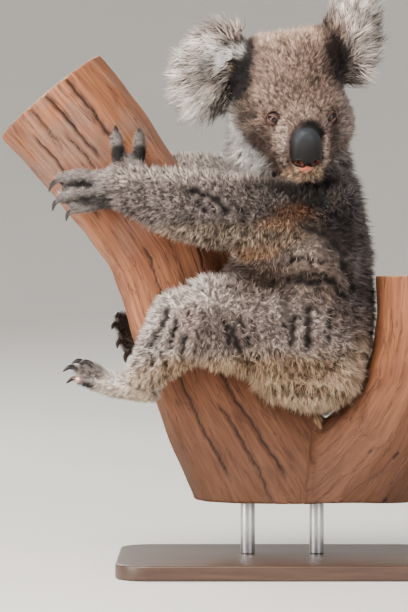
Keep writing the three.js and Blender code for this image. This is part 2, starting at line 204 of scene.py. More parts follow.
def dress(piece: bpy.types.Object, material: bpy.types.Material, slot: str, *nodes: str) -> None:
    """Gives a piece its material and body, and hides the CAD nodes it stands for."""
    piece.data.materials.clear()
    piece.data.materials.append(material)
    if nodes:
        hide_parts(*nodes)
    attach(piece, BODY)
    LOG.info("%s: %d faces", piece.name, len(piece.data.polygons))


# ---------------------------------------------------------------- shader maths


class Value:
    """A shader socket that takes part in Python arithmetic."""

    def __init__(self, graph: "Graph", socket: bpy.types.NodeSocket) -> None:
        """Wraps a node's output."""
        self.graph = graph
        self.socket = socket

    def maths(self, operation: str, *others: Any) -> "Value":
        """Adds a Math node on this value."""
        inputs = dict(enumerate((self, *others)))
        return self.graph.node("ShaderNodeMath", {"operation": operation}, inputs)

    def __add__(self, other: Any) -> "Value":
        """The sum."""
        return self.maths("ADD", other)

    def __mul__(self, other: Any) -> "Value":
        """The product."""
        return self.maths("MULTIPLY", other)

    def __sub__(self, other: Any) -> "Value":
        """The difference."""
        return self.maths("SUBTRACT", other)

    def __rsub__(self, other: float) -> "Value":
        """The difference from a number."""
        return self.graph.node("ShaderNodeMath", {"operation": "SUBTRACT"}, {0: other, 1: self})

    __radd__ = __add__
    __rmul__ = __mul__

    def between(self, low: float, high: float) -> "Value":
        """A smooth step from 0 at low to 1 at high."""
        return self.graph.node(
            "ShaderNodeMapRange",
            {"interpolation_type": "SMOOTHSTEP"},
            {"Value": self, "From Min": low, "From Max": high},
        )


class Graph:
    """One material's nodes, round a Principled shader."""

    def __init__(self, name: str, **constants: Any) -> None:
        """Starts a material whose shader sockets hold constants.

        Args:
            name: the material's name.
            constants: socket names, with _ for a space, and their values.
        """
        self.material = bpy.data.materials.new(name)
        self.material.use_nodes = True
        self.tree = self.material.node_tree
        self.tree.nodes.clear()
        self.shader = self.tree.nodes.new("ShaderNodeBsdfPrincipled")
        output = self.tree.nodes.new("ShaderNodeOutputMaterial")
        self.tree.links.new(self.shader.outputs[0], output.inputs[0])
        for socket, value in constants.items():
            self.shader.inputs[socket.replace("_", " ")].default_value = value

    def node(self, kind: str, settings: dict | None = None, inputs: dict | None = None,
             output: str | int = 0) -> Value:
        """Adds a node.

        Args:
            kind: the node's type.
            settings: its properties; "stops" holds a ramp's places and tints.
            inputs: sockets with values or links.
            output: the socket to return.

        Returns:
            The chosen output.
        """
        made = self.tree.nodes.new(kind)
        for name, value in (settings or {}).items():
            if name == "stops":
                stops = made.color_ramp.elements
                while len(stops) < len(value):
                    stops.new(1.0)
                for stop, (place, tint) in zip(stops, value):
                    stop.position = place
                    stop.color = (*linear(tint), 1)
            else:
                setattr(made, name, value)
        for name, value in (inputs or {}).items():
            if isinstance(value, Value):
                self.tree.links.new(value.socket, made.inputs[name])
            else:
                made.inputs[name].default_value = value
        return Value(self, made.outputs[output])

    def place(self, scale: Sequence[float] = (1, 1, 1), at: Sequence[float] = (0, 0, 0),
              turn: Sequence[float] = (0, 0, 0), source: Value | None = None) -> Value:
        """Object coordinates, or another vector, turned, centred and stretched."""
        source = source or self.node("ShaderNodeTexCoord", output="Object")
        return self.node(
            "ShaderNodeMapping", {"vector_type": "TEXTURE"},
            {"Vector": source, "Location": at, "Rotation": turn,
             "Scale": tuple(1 / s for s in scale)},
        )

    def read(self, name: str, output: str = "Color") -> Value:
        """Reads an attribute of the mesh."""
        return self.node("ShaderNodeAttribute", {"attribute_name": name}, output=output)

    def noise(self, vector: Value, scale: float, detail: float = 3, rough: float = 0.55) -> Value:
        """Soft noise from 0 to 1."""
        return self.node(
            "ShaderNodeTexNoise", {},
            {"Vector": vector, "Scale": scale, "Detail": detail, "Roughness": rough},
        )

    def ramp(self, value: Value, *stops: tuple) -> Value:
        """Turns a value into colours."""
        return self.node("ShaderNodeValToRGB", {"stops": stops}, {0: value})

    def mix(self, share: Any, first: Any, second: Any, mode: str = "MIX") -> Value:
        """Mixes two colours, which are links or tints of 0 to 255."""
        tints = [t if isinstance(t, Value) else (*linear(t), 1) for t in (first, second)]
        return self.node(
            "ShaderNodeMix", {"data_type": "RGBA", "blend_type": mode},
            {0: share, 6: tints[0], 7: tints[1]}, output=2,
        )

    def feed(self, socket: str, value: Value) -> None:
        """Links a value to a socket of the shader."""
        self.tree.links.new(value.socket, self.shader.inputs[socket])

    def bump(self, height: Value, distance: float, strength: float = 1.0) -> None:
        """Feeds a height to the shader's normal."""
        self.feed("Normal", self.node(
            "ShaderNodeBump", {}, {"Height": height, "Distance": distance, "Strength": strength},
        ))


# ---------------------------------------------------------------- finishes


@dataclass(frozen=True)
class CoatFinish:
    """Hair: dark at the root, the coat's tint along it, paler at the tip."""

    root_share: float = 0.1
    root_end: float = 0.68
    tip_tint: tuple = (250, 240, 230)
    tip_share: float = 0.4

    def material(self) -> bpy.types.Material:
        """Builds the material."""
        graph = Graph("coat", Roughness=0.7, Specular_IOR_Level=0.2)
        tint = graph.read("tint")
        along = graph.read("along", "Fac")
        grime = graph.noise(graph.place(), 90, 2).between(0.3, 0.7)
        glow = graph.node("ShaderNodeRGBToBW", {}, {0: tint})
        pale = glow.between(0.5, 0.85) * 0.8
        shade = along.between(0.0, self.root_end) * (1 - self.root_share) + self.root_share
        shade = shade + (1 - shade) * pale
        dark = graph.node("ShaderNodeVectorMath", {"operation": "SCALE"},
                          {0: tint, "Scale": shade * (grime * 0.16 + 0.88)})
        tip = along.between(0.6, 1.0) * self.tip_share * (glow.between(0.03, 0.2) * 0.9 + 0.1)
        graph.feed("Base Color", graph.mix(tip, dark, graph.mix(0.6, tint, self.tip_tint)))
        return graph.material


@dataclass(frozen=True)
class SkinFinish:
    """The hide under the coat: its markings, darkened both as the dark undercoat and as painted
    shade between the locks, with a fine woolly grain.
    """

    # painted shade: the hide is darkened as the dark undercoat and as the shade between the locks
    shade: float = 0.36

    def material(self) -> bpy.types.Material:
        """Builds the material."""
        graph = Graph("hide", Roughness=0.8, Specular_IOR_Level=0.2)
        fine = graph.noise(graph.place(), 900, 3)
        patchy = graph.noise(graph.place(), 160, 2)
        shade = (fine * 0.5 + patchy * 0.5 + 0.5) * self.shade
        bare = graph.read("bare", "Fac")
        share = bare * (1 - self.shade) + shade
        graph.feed("Base Color", graph.node(
            "ShaderNodeVectorMath", {"operation": "SCALE"},
            {0: graph.read("tint"), "Scale": share}))
        graph.bump(fine + patchy * 0.6, 0.0006, 0.6)
        return graph.material


@dataclass(frozen=True)
class NoseFinish:
    """Pebbled nose leather, near black round the nostrils and slate above: its own dark tone with
    painted sheen towards the top.
    """

    def material(self) -> bpy.types.Material:
        """Builds the material."""
        graph = Graph("nose_leather", Roughness=0.4, Specular_IOR_Level=0.22,
                      Coat_Weight=0.03, Coat_Roughness=0.35)
        where = graph.place()
        pebbles = graph.node("ShaderNodeTexVoronoi", {"feature": "DISTANCE_TO_EDGE"},
                             {"Vector": where, "Scale": 900.0})
        mottled = graph.noise(where, 120, 4)
        height = graph.read("height", "Fac")
        # painted sheen: the ramp on height makes the pad paler towards the top, over its own dark
        # leather
        tone = graph.ramp(height + (mottled - 0.5) * 0.25,
                          (0.15, (9, 7, 6)), (0.45, (13, 11, 10)), (0.66, (28, 29, 31)),
                          (1.0, (44, 48, 54)))
        pink = graph.read("pink", "Fac")
        graph.feed("Base Color", graph.mix(pink, tone, (128, 74, 62)))
        graph.bump(pebbles.between(0.0, 0.12) + mottled * 0.4, 0.00022, 0.5)
        return graph.material


@dataclass(frozen=True)
class LidFinish:
    """Bare rims of the eyes: black at the edge, then dusky pink, and fur brown further out."""

    def material(self) -> bpy.types.Material:
        """Builds the material."""
        graph = Graph("eyelid", Roughness=0.45, Specular_IOR_Level=0.4)
        fine = graph.noise(graph.place(), 700, 3)
        rim = graph.read("rim", "Fac")
        tone = graph.ramp(rim + (fine - 0.5) * 0.1, (0.0, (18, 12, 10)), (0.05, (40, 26, 22)),
                          (0.1, (108, 70, 58)), (0.17, (96, 68, 58)), (0.27, (78, 60, 52)),
                          (0.6, (66, 53, 46)))
        graph.feed("Base Color", tone)
        graph.bump(fine, 0.0004, 0.5)
        return graph.material


@dataclass(frozen=True)
class EyeFinish:
    """A wet dark-brown iris with an upright slit pupil."""

    at: tuple
    turn: tuple
    iris: float = 6.0 * MM

    def material(self) -> bpy.types.Material:
        """Builds the material."""
        graph = Graph("eye", Roughness=0.25, Specular_IOR_Level=0.2,
                      Coat_Weight=0.3, Coat_Roughness=0.04)
        where = graph.place(at=self.at, turn=self.turn)
        across, up = (graph.node("ShaderNodeSeparateXYZ", {}, {0: where}, axis)
                      for axis in ("X", "Z"))
        span = (across.maths("POWER", 2) + up.maths("POWER", 2)).maths("SQRT")
        streaks = graph.noise(graph.place((1, 0.2, 1), self.at, self.turn), 1400, 3)
        iris = graph.mix(streaks, (24, 14, 10), (50, 30, 21))
        slit = (across * (1 / 0.95)).maths("POWER", 2) + (up * (1 / 3.4)).maths("POWER", 2)
        iris = graph.mix(slit.maths("SQRT").between(0.85 * MM, 1.15 * MM), (5, 4, 4), iris)
        ring = span.between(self.iris * 0.78, self.iris * 0.98)
        iris = graph.mix(ring, iris, (14, 9, 7))
        white = span.between(self.iris, self.iris * 1.12)
        graph.feed("Base Color", graph.mix(white, iris, (108, 84, 82)))
        return graph.material


@dataclass(frozen=True)
class ClawFinish:
    """Polished black horn with browner streaks."""

    def material(self) -> bpy.types.Material:
        """Builds the material."""
        graph = Graph("claw", Roughness=0.3, Specular_IOR_Level=0.5)
        streaks = graph.noise(graph.place((1, 1, 1)), 500, 4)
        graph.feed("Base Color", graph.ramp(streaks, (0.3, (16, 14, 15)), (0.7, (52, 44, 42))))
        graph.bump(streaks, 0.0002, 0.4)
        return graph.material


@dataclass(frozen=True)
class WoodFinish:
    """Smooth-barked eucalypt: red-brown fibres, long dark cracks, a weathered patch, sawn ends, and
    painted shade low down.
    """

    def material(self) -> bpy.types.Material:
        """Builds the material."""
        graph = Graph("bark", Roughness=0.72, Specular_IOR_Level=0.3)
        grain = graph.read("grain", "Vector")
        where = graph.place()
        broad = graph.noise(graph.place((1, 1, 0.22), source=grain), 22, 3)
        fibre = graph.noise(graph.place((1, 1, 0.06), source=grain), 260, 5, 0.65)
        fine = graph.noise(graph.place((1, 1, 0.08), source=grain), 900, 3)
        veins = graph.noise(graph.place((1, 1, 0.1), source=grain), 55, 4, 0.6)
        split = (veins - 0.5).maths("ABSOLUTE").between(0.0, 0.018)
        tone = graph.ramp(broad * 0.65 + fibre * 0.35, (0.26, (96, 56, 37)), (0.42, (126, 78, 51)),
                          (0.56, (146, 94, 64)), (0.75, (168, 116, 84)))
        weather = graph.noise(where, 14, 4).between(0.45, 0.62) * graph.read("weather", "Fac")
        tone = graph.mix(weather, tone, graph.mix(fibre, (100, 72, 58), (150, 114, 96)))
        tone = graph.mix(fibre.between(0.32, 0.62) * 0.5 + 0.5, (96, 50, 32), tone)
        tone = graph.mix(split * 0.55 + 0.45, (58, 32, 24), tone)
        # painted shade: the wood is darker towards the bottom
        low_painted_shade = graph.mix(fibre, (50, 31, 21), (92, 60, 40))
        tone = graph.mix(graph.read("shade", "Fac"), tone, low_painted_shade)
        holes = graph.node("ShaderNodeTexVoronoi", {"feature": "F1"},
                           {"Vector": graph.place((1, 1, 0.6), source=grain), "Scale": 52.0})
        rare = graph.noise(where, 30, 2).between(0.52, 0.6)
        bored = (1 - holes.between(0.1, 0.16)) * rare
        tone = graph.mix(bored, tone, (38, 22, 17))
        tone = graph.mix(graph.read("crack", "Fac"), tone, (30, 18, 15))
        rings = graph.node("ShaderNodeTexWave", {"wave_type": "RINGS", "rings_direction": "Z"},
                           {"Vector": grain, "Scale": 44.0, "Distortion": 3.0, "Detail": 3.0})
        end = graph.ramp(rings, (0.0, (158, 116, 82)), (0.5, (188, 148, 108)),
                         (1.0, (204, 166, 126)))
        graph.feed("Base Color", graph.mix(graph.read("sawn", "Fac"), tone, end))
        graph.bump(fibre * 0.6 + fine * 0.35 + split * 0.8 + broad * 0.5, 0.0016, 0.55)
        return graph.material


@dataclass(frozen=True)
class BoardFinish:
    """A dark oiled board with fine straight grain."""

    def material(self) -> bpy.types.Material:
        """Builds the material."""
        graph = Graph("stand_board", Roughness=0.42, Coat_Weight=0.15, Coat_Roughness=0.3)
        grain = graph.place((0.05, 1, 1))
        streak = graph.noise(grain, 160, 5, 0.6)
        broad = graph.noise(grain, 24, 2)
        oiled = graph.ramp(streak * 0.6 + broad * 0.4, (0.3, (44, 30, 23)), (0.5, (66, 46, 35)),
                           (0.7, (86, 62, 47)))
        graph.feed("Base Color", oiled)
        graph.bump(streak, 0.0004, 0.35)
        return graph.material


@dataclass(frozen=True)
class RodFinish:
    """Brushed steel, turned round the rod."""

    def material(self) -> bpy.types.Material:
        """Builds the material."""
        graph = Graph("stand_rod", Metallic=1.0, Base_Color=(0.56, 0.57, 0.58, 1))
        brush = graph.noise(graph.place((0.15, 0.15, 1)), 1600, 3)
        graph.feed("Roughness", brush * 0.2 + 0.24)
        graph.bump(brush, 0.0001, 0.25)
        return graph.material


@dataclass(frozen=True)
class FloorFinish:
    """A matt pale floor."""

    def material(self) -> bpy.types.Material:
        """Builds the material."""
        graph = Graph("floor", Roughness=0.9, Specular_IOR_Level=0.1)
        soft = graph.noise(graph.place(), 1.5, 2)
        graph.feed("Base Color", graph.ramp(soft, (0.2, (222, 220, 216)), (0.8, (228, 226, 222))))
        return graph.material


# ---------------------------------------------------------------- what grows where


class Lie(Enum):
    """How hair on a part finds its direction."""

    ALONG = "along a fixed direction"
    FROM_NOSE = "back from the nose"
    FROM_ROOT = "out from the root of the ear"


@dataclass(frozen=True)
class Pelt:
    """The coat of one part: its depth in millimetres, tint and direction."""

    depth: float
    tint: tuple
    flow: tuple
    lie: Lie = Lie.ALONG


PELTS = {
    "head": Pelt(5, (186, 152, 134), NOSE_AT, Lie.FROM_NOSE),
    "ear_left": Pelt(15, (244, 230, 220), (-22, -14, 566), Lie.FROM_ROOT),
    "ear_right": Pelt(14, (206, 192, 184), (50, -10, 552), Lie.FROM_ROOT),
    "neck": Pelt(12, (168, 154, 146), (0, 0, -1)),
    "chest": Pelt(12, (142, 131, 125), (0.15, 0, -1)),
    "belly": Pelt(11, (182, 156, 142), (0.1, 0, -1)),
    "rump": Pelt(11, (252, 214, 180), (0.1, 0, -1)),
    "upper_arm_left": Pelt(9, (156, 141, 134), (-0.8, -0.3, -0.45)),
    "upper_arm_right": Pelt(9, (214, 196, 186), (-0.8, 0.3, -0.3)),
    "forearm_left": Pelt(7.5, (170, 154, 147), (-1, 0.05, -0.12)),
    "forearm_right": Pelt(7.5, (220, 202, 190), (-1, 0, 0)),
    "hand_left": Pelt(2.6, (160, 149, 144), (-1, 0.4, 0)),
    "hand_right": Pelt(2.6, (156, 145, 139), (-1, -0.2, 0)),
    "thigh_left": Pelt(10, (236, 212, 200), (-0.35, 0, -1)),
    "thigh_right": Pelt(10, (188, 173, 164), (-0.35, 0, -1)),
    "shin_left": Pelt(7.5, (240, 220, 208), (-0.7, 0.3, -0.7)),
    "shin_right": Pelt(7.5, (196, 182, 172), (-0.7, -0.2, -0.6)),
    "foot_left": Pelt(3, (246, 234, 228), (-1, 0, 0.1)),
    "foot_right": Pelt(3, (150, 139, 133), (-0.4, -1, 0)),
}


@dataclass(frozen=True)
class Patch:
    """A marking: a soft ellipsoid of colour in the frame's millimetres."""

    at: tuple
    size: tuple
    tint: tuple
    strength: float = 1.0
    soft: float = 0.6
    facing: tuple | None = None

    def share(self, points: np.ndarray, normals: np.ndarray) -> np.ndarray:
        """How strongly the marking covers each point, from 0 to 1."""
        reach = np.linalg.norm((points / MM - np.array(self.at)) / np.array(self.size), axis=1)
        share = ease((1 + self.soft - reach) / (2 * self.soft)) * self.strength
        if self.facing is not None:
            share = share * ease(normals @ unit(np.array(self.facing, float)) * 1.2 + 0.2)
        return share


def head_mm(x: float, y: float, z: float) -> tuple:
    """Turns a place in the head's own millimetres into the frame's millimetres."""
    return tuple(on_head(x, y, z) / MM)


CREAM = (226, 200, 174)
SAND = (255, 216, 180)
WHITE = (255, 252, 248)
# the black here serves both the coat's own black markings and painted shadows under the chin,
# between the fingers and in the palm
BLACK = (24, 20, 20)
SHADOW_UMBER = (74, 58, 49)
MARKINGS = (
    # the rump, belly, flank and back
    Patch((0, 0, 208), (200, 140, 44), SAND, 0.85, 0.4, (0, -0.4, -1)),
    Patch((45, -60, 186), (110, 70, 26), (255, 218, 182), 0.9, 0.5),
    Patch((-20, -80, 214), (110, 60, 22), (255, 212, 172), 0.8, 0.5, (0, 0, -1)),
    Patch((84, -50, 360), (26, 70, 90), (112, 104, 105), 0.75, 0.5),
    Patch((-30, -60, 316), (46, 60, 22), (88, 66, 50), 0.95, 0.4),
    Patch((26, -100, 350), (30, 40, 15), (214, 192, 178), 0.8, 0.5),
    Patch((62, -90, 372), (26, 44, 26), (60, 51, 49), 0.9, 0.5),
    Patch((-40, -100, 224), (120, 70, 14), (255, 208, 164), 0.85, 0.5, (0, -0.2, -1)),
    # painted shadow under the chin: a black and an umber patch where the chin shades the chest
    Patch((28, -90, 421), (50, 46, 16), BLACK, 1.0, 0.4),
    Patch((-20, -88, 427), (40, 40, 13), SHADOW_UMBER, 0.9, 0.5),
    Patch((30, -96, 402), (26, 34, 12), (44, 38, 36), 0.85, 0.5),
    Patch((-4, -100, 368), (26, 34, 13), (250, 184, 132), 0.95, 0.5),
    Patch((-24, -94, 352), (24, 40, 12), (250, 190, 142), 0.9, 0.5),
    Patch((16, -104, 388), (20, 34, 8), (192, 128, 86), 0.85, 0.8),
    Patch((-60, -100, 366), (110, 60, 11), CREAM, 0.9, 0.5, (0, -0.2, -1)),
    Patch((-90, -92, 430), (110, 46, 12), (232, 212, 202), 0.85, 0.5, (0, 0, 1)),
    # the ruff and the far arm
    Patch((-38, -4, 468), (44, 56, 48), WHITE, 1.0, 0.3),
    Patch((-60, 30, 440), (50, 70, 40), (248, 238, 230), 0.9, 0.5),
    Patch((60, -30, 455), (26, 40, 22), (150, 140, 134), 0.8, 0.5),
    # the knee and the shin
    Patch((-104, -96, 312), (50, 70, 26), (244, 228, 218), 0.7, 0.7),
    Patch((-140, -90, 268), (22, 60, 44), (228, 216, 208), 0.7, 0.5),
    Patch((-60, -130, 256), (50, 40, 24), (178, 158, 146), 0.6, 0.6),
    # the face
    Patch(head_mm(0, -16, 66), (60, 54, 18), (255, 208, 182), 0.95, 0.45),
    Patch(head_mm(2, -70, -20), (13, 30, 15), (214, 182, 164), 0.75, 0.5),
    Patch(head_mm(-4, -60, 10), (26, 40, 22), (150, 122, 105), 0.6, 0.6),
    Patch(head_mm(-42, -42, -50), (20, 32, 20), (88, 71, 61), 0.9, 0.5),
    Patch(head_mm(-56, -30, -14), (14, 32, 22), (96, 78, 68), 0.8, 0.5),
    Patch(head_mm(-50, -42, -21), (10, 18, 4), (48, 38, 33), 0.8, 0.5),
    Patch(head_mm(34, -58, -54), (12, 30, 26), (84, 67, 58), 0.85, 0.5),
    Patch(head_mm(52, -30, -30), (12, 34, 34), (182, 162, 154), 0.8, 0.5),
    Patch(head_mm(24, -62, -28), (5, 16, 14), (198, 170, 156), 0.7, 0.5),
    Patch(head_mm(-23, -66, -48), (8, 22, 22), (190, 164, 150), 0.8, 0.5),
    Patch(head_mm(-27, -56, -70), (12, 22, 8), (66, 50, 40), 0.85, 0.5),
    Patch(head_mm(2.5, -70, -53), (20.5, 26, 25), BLACK, 1.0, 0.16),
    Patch(head_mm(21, -66, -58), (3.2, 20, 17), (236, 204, 186), 0.95, 0.4),
    Patch(head_mm(-22, -64, -56), (4.5, 20, 22), (196, 170, 156), 0.95, 0.4),
    Patch(head_mm(0, -60, -82), (21, 26, 10), (255, 208, 172), 1.0, 0.3),
    # the ears
    Patch((-56, -34, 512), (15, 30, 18), (58, 46, 40), 0.9, 0.45),
    Patch((-34, -46, 558), (14, 36, 34), (40, 33, 30), 1.0, 0.35),
    Patch((-72, -34, 548), (16, 26, 16), (150, 136, 128), 0.7, 0.6),
    Patch((-54, -36, 565), (22, 24, 13), WHITE, 1.0, 0.3),
    Patch((-66, -32, 534), (5, 20, 13), (196, 160, 120), 0.85, 0.4),
    Patch((-84, -24, 502), (24, 30, 18), (255, 244, 232), 0.95, 0.5),
    Patch((-62, -24, 594), (36, 40, 15), (150, 134, 126), 0.85, 0.5),
    Patch((-45, -46, 530), (22, 40, 24), BLACK, 1.0, 0.25),
    Patch((-62, -34, 514), (16, 30, 12), (52, 40, 34), 0.9, 0.4),
    Patch((62, -40, 556), (17, 34, 36), (36, 31, 31), 0.93, 0.4),
    Patch((52, -24, 596), (14, 30, 16), (60, 52, 50), 0.8, 0.5),
    Patch((86, -10, 618), (26, 30, 18), (232, 220, 210), 0.8, 0.5),
    # hands and feet
    # painted shade: the black strip between the fingers and the two dark patches in the palm
    Patch((-214, -80, 421), (18, 20, 4.5), BLACK, 0.95, 0.4),
    Patch((-206, -80, 402), (13, 20, 5), BLACK, 0.85, 0.5),
    Patch((-188, -84, 401), (12, 14, 10), (44, 40, 42), 0.8, 0.5),
    Patch((-172, -82, 452), (9, 16, 10), BLACK, 0.95, 0.35),
    Patch((-148, -79, 453), (8, 16, 9), BLACK, 0.95, 0.35),
    Patch((-226, -70, 432), (12, 16, 6), (198, 188, 184), 0.8, 0.5),
    Patch((-230, -66, 411), (9, 16, 6), (206, 196, 192), 0.8, 0.5),
    Patch((-205, -68, 218), (17, 26, 10), (124, 112, 110), 0.8, 0.5),
    # painted shadow under the toes
    Patch((-208, -76, 203), (11, 16, 5), (34, 30, 31), 0.95, 0.4),
    Patch((-217, -78, 211), (6, 8, 5), (250, 206, 184), 1.0, 0.4),
    Patch((-165, -70, 184), (60, 50, 9), (250, 226, 192), 0.9, 0.5, (0, 0, -1)),
)


BODY_TONE = 0.8  # how bright the markings are laid, apart from the palest


def painted(tints: np.ndarray, points: np.ndarray, normals: np.ndarray) -> np.ndarray:
    """Lays the markings over the tints of some points."""
    for patch in MARKINGS:
        share = patch.share(points, normals)[:, None]
        tints = tints * (1 - share) + linear(patch.tint) * share
    pale = ease((tints.mean(1, keepdims=True) - 0.5) / 0.35)
    return tints * (BODY_TONE + (1 - BODY_TONE) * pale)


WIGGLE, WIGGLE_RATE = 1.3, 0.55  # a parting's waver, in millimetres and radians per millimetre


@dataclass(frozen=True)
class Parting:
    """A split where the coat opens over a fold, on the left side of the body, dark with painted
    shade.

    Its line runs through (x, z) places in the frame's millimetres.
    """

    width: float
    line: tuple
    strength: float = 1.0

    def reach(self, points: np.ndarray, normals: np.ndarray) -> tuple[np.ndarray, np.ndarray]:
        """How strongly each point feels the split, and the way out from it.

        Args:
            points: places in metres.
            normals: the skin's normals there.

        Returns:
            A share from 0 to 1 and a direction for each point.
        """
        pull, out = np.zeros(len(points)), np.zeros_like(points)
        margin = 3 * self.width + 2
        line = np.array(self.line, float)
        spots = points[:, (0, 2)] / MM
        inside = (spots > line.min(0) - margin) & (spots < line.max(0) + margin)
        close = np.flatnonzero(inside.all(1))
        spots = spots[close] + WIGGLE * np.sin(spots[close][:, ::-1] * WIGGLE_RATE + self.width)
        near = np.full(len(spots), np.inf)
        aside = np.zeros((len(spots), 2))
        for start, run in zip(line, np.diff(line, axis=0)):
            share = np.clip((spots - start) @ run / (run @ run), 0, 1)
            away = spots - start - share[:, None] * run
            gap = np.linalg.norm(away, axis=1)
            closer = gap < near
            near[closer], aside[closer] = gap[closer], away[closer]
        sideways = ease(-normals[close, 1] * 1.8 - 0.3)
        pull[close] = np.exp(-(near / (1.3 * self.width)) ** 3) * self.strength * sideways
        out[np.ix_(close, (0, 2))] = unit(aside)
        return pull, out


def crimps(rng: np.random.Generator, count: int, low: tuple, high: tuple) -> list[Parting]:
    """Short fine splits scattered over a stretch of the side, dark with painted shade like the
    other partings.

    Args:
        rng: the random numbers to use.
        count: how many splits to scatter.
        low: the least (x, z) of the stretch, in millimetres.
        high: its greatest (x, z).

    Returns:
        The splits, most of them running down the flank.
    """
    splits = []
    for _ in range(count):
        start = rng.uniform(low, high)
        turn = math.radians(rng.normal(-68, 24))
        run = rng.uniform(6, 15)
        end = start + run * np.array((math.cos(turn), math.sin(turn)))
        splits.append(Parting(rng.uniform(0.9, 1.5), (tuple(start), tuple(end)), 0.75))
    return splits


PARTINGS = (
    # the arm
    Parting(2.6, ((-92.9, 411.6), (-79.2, 407.4), (-65.6, 401.1), (-56.1, 387.4))),
    Parting(1.8, ((-86.6, 397.9), (-77.1, 388.5))),
    Parting(1.6, ((-74.0, 395.8), (-67.7, 388.5))),
    Parting(1.6, ((-39.2, 379), (-34, 369.5)), 0.8),
    # between the fingers
    Parting(1.5, ((-238, 420), (-202, 418)), 0.9),
    Parting(1.4, ((-228, 402), (-198, 406)), 0.9),
    # the shin and the thigh
    Parting(3.0, ((-118.2, 285.2), (-121.4, 272.5), (-130.9, 256.7), (-136.1, 245.1))),
    Parting(2.2, ((-108.8, 272.5), (-115.1, 252.5))),
    Parting(2.0, ((-99.3, 256.7), (-103.5, 241))),
    Parting(2.4, ((-124.6, 238.8), (-118.2, 222))),
    Parting(2.0, ((-137.2, 246.2), (-134, 226.2))),
    Parting(2.2, ((-59.2, 274.6), (-52.9, 247.2))),
    Parting(3.4, ((-50.8, 265.2), (-42.4, 241))),
    Parting(2.0, ((-43.4, 276.8), (-31.8, 248.3))),
    Parting(1.7, ((-29.7, 274.6), (-25.5, 255.7)), 0.8),
    Parting(2.0, ((-39.2, 235.6), (-19.2, 236.7))),
    Parting(1.8, ((-36, 229.3), (-24.5, 220.9))),
    # the flank
    Parting(5.0, ((4.9, 295.8), (10.2, 266)), 0.75),
    Parting(3.0, ((15.5, 276.6), (13.4, 247.9))),
    Parting(4.2, ((30.5, 286.2), (30.5, 246.8))),
    Parting(2.8, ((56, 284.1), (51.8, 252.1))),
    Parting(3.2, ((11.3, 318.2), (34.7, 313.9), (53.9, 318.2))),
    Parting(4.2, ((58.2, 315), (68.8, 300.1))),
    Parting(2.2, ((10.2, 336.2), (22, 340.5), (45.4, 336.2))),
    Parting(2.5, ((22, 323.5), (49.7, 321.4))),
    Parting(3.2, ((66.7, 336.2), (81.6, 304.4))),
    Parting(3.0, ((25.1, 374.6), (53.9, 363.9), (69.9, 342.6)), 0.8),
    Parting(3.2, ((-22.8, 198.9), (21.9, 201), (69.9, 193.6)), 0.85),
    *crimps(np.random.default_rng(7), 34, (-140, 232), (-20, 318)),
    *crimps(np.random.default_rng(8), 40, (-15, 225), (75, 350)),
    *crimps(np.random.default_rng(9), 12, (-120, 375), (-20, 425)),
)


@dataclass(frozen=True)
class Bare:
    """An ellipsoid in the frame's millimetres where no hair grows."""

    at: tuple
    size: tuple

    def holds(self, points: np.ndarray) -> np.ndarray:
        """Which points lie inside."""
        return np.linalg.norm((points / MM - np.array(self.at)) / np.array(self.size), axis=1) < 1


BARE = (
    Bare(head_mm(0, -80, -53), (16, 18, 20)),
    Bare(head_mm(-1, -70, -78.5), (8, 10, 4)),
    Bare(head_mm(-29, -58, -26.8), (5.2, 9, 3.2)),
    Bare(head_mm(31.5, -56, -26.4), (4.7, 9, 3.4)),
    Bare((-218, -78, 211), (5, 5, 4)),
)


# ---------------------------------------------------------------- the skin


class Hide:
    """Finds which part of the body each point belongs to."""

    def __init__(self, names: Sequence[str]) -> None:
        """Joins the parts' triangles in one search tree."""
        places, faces, self.owner, start = [], [], [], 0
        for index, name in enumerate(names):
            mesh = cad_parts[name].data
            corners = triangles(mesh)
            places.append(numbers(mesh.vertices, "co"))
            faces.append(corners + start)
            self.owner += [index] * len(corners)
            start += len(mesh.vertices)
        self.tree = BVHTree.FromPolygons(np.vstack(places).tolist(), np.vstack(faces).tolist())

    def nearest(self, points: np.ndarray) -> tuple[np.ndarray, np.ndarray]:
        """For each point, the index of the nearest part and the height above its surface."""
        owners, heights = [], []
        for point in points.tolist():
            place, normal, face, _ = self.tree.find_nearest(point)
            owners.append(self.owner[face])
            heights.append((Vector(point) - place).dot(normal))
        return np.array(owners), np.array(heights)


@dataclass(frozen=True)
class Press:
    """A soft push on the face, round a place or a short line in the head's millimetres."""

    start: tuple
    reach: float
    height: float
    way: tuple
    end: tuple | None = None

    def push(self, local: np.ndarray) -> np.ndarray:
        """How far each of the head's points moves, in millimetres."""
        off = local - np.array(self.start, float)
        if self.end is not None:
            run = np.subtract(self.end, self.start).astype(float)
            off = off - np.clip(off @ run / (run @ run), 0, 1)[:, None] * run
        return np.exp(-(np.linalg.norm(off, axis=1) / self.reach) ** 2) * self.height


def eye_presses(x: float, y: float, z: float) -> tuple[Press, Press]:
    """The socket of one eye and the brow over it."""
    return (Press((x, y - 8, z), 12, 1.2, (0, 1.0, 0)),
            Press((x * 0.9, y - 6, z + 15), 9, 1.8, (0, -1.0, 0.1)))


FACE_PRESSES = (
    *eye_presses(*EYES["eye_left"]),
    *eye_presses(*EYES["eye_right"]),
    Press((-1, -76, -54), 27, 8, (0, -1.0, 0)),
    Press((-4, -88, -77), 4.5, 2.2, (0, 1.0, 0.2), (-27, -62, -66)),
    Press((4, -88, -77), 4.5, 2.2, (0, 1.0, 0.2), (27, -62, -66)),
)


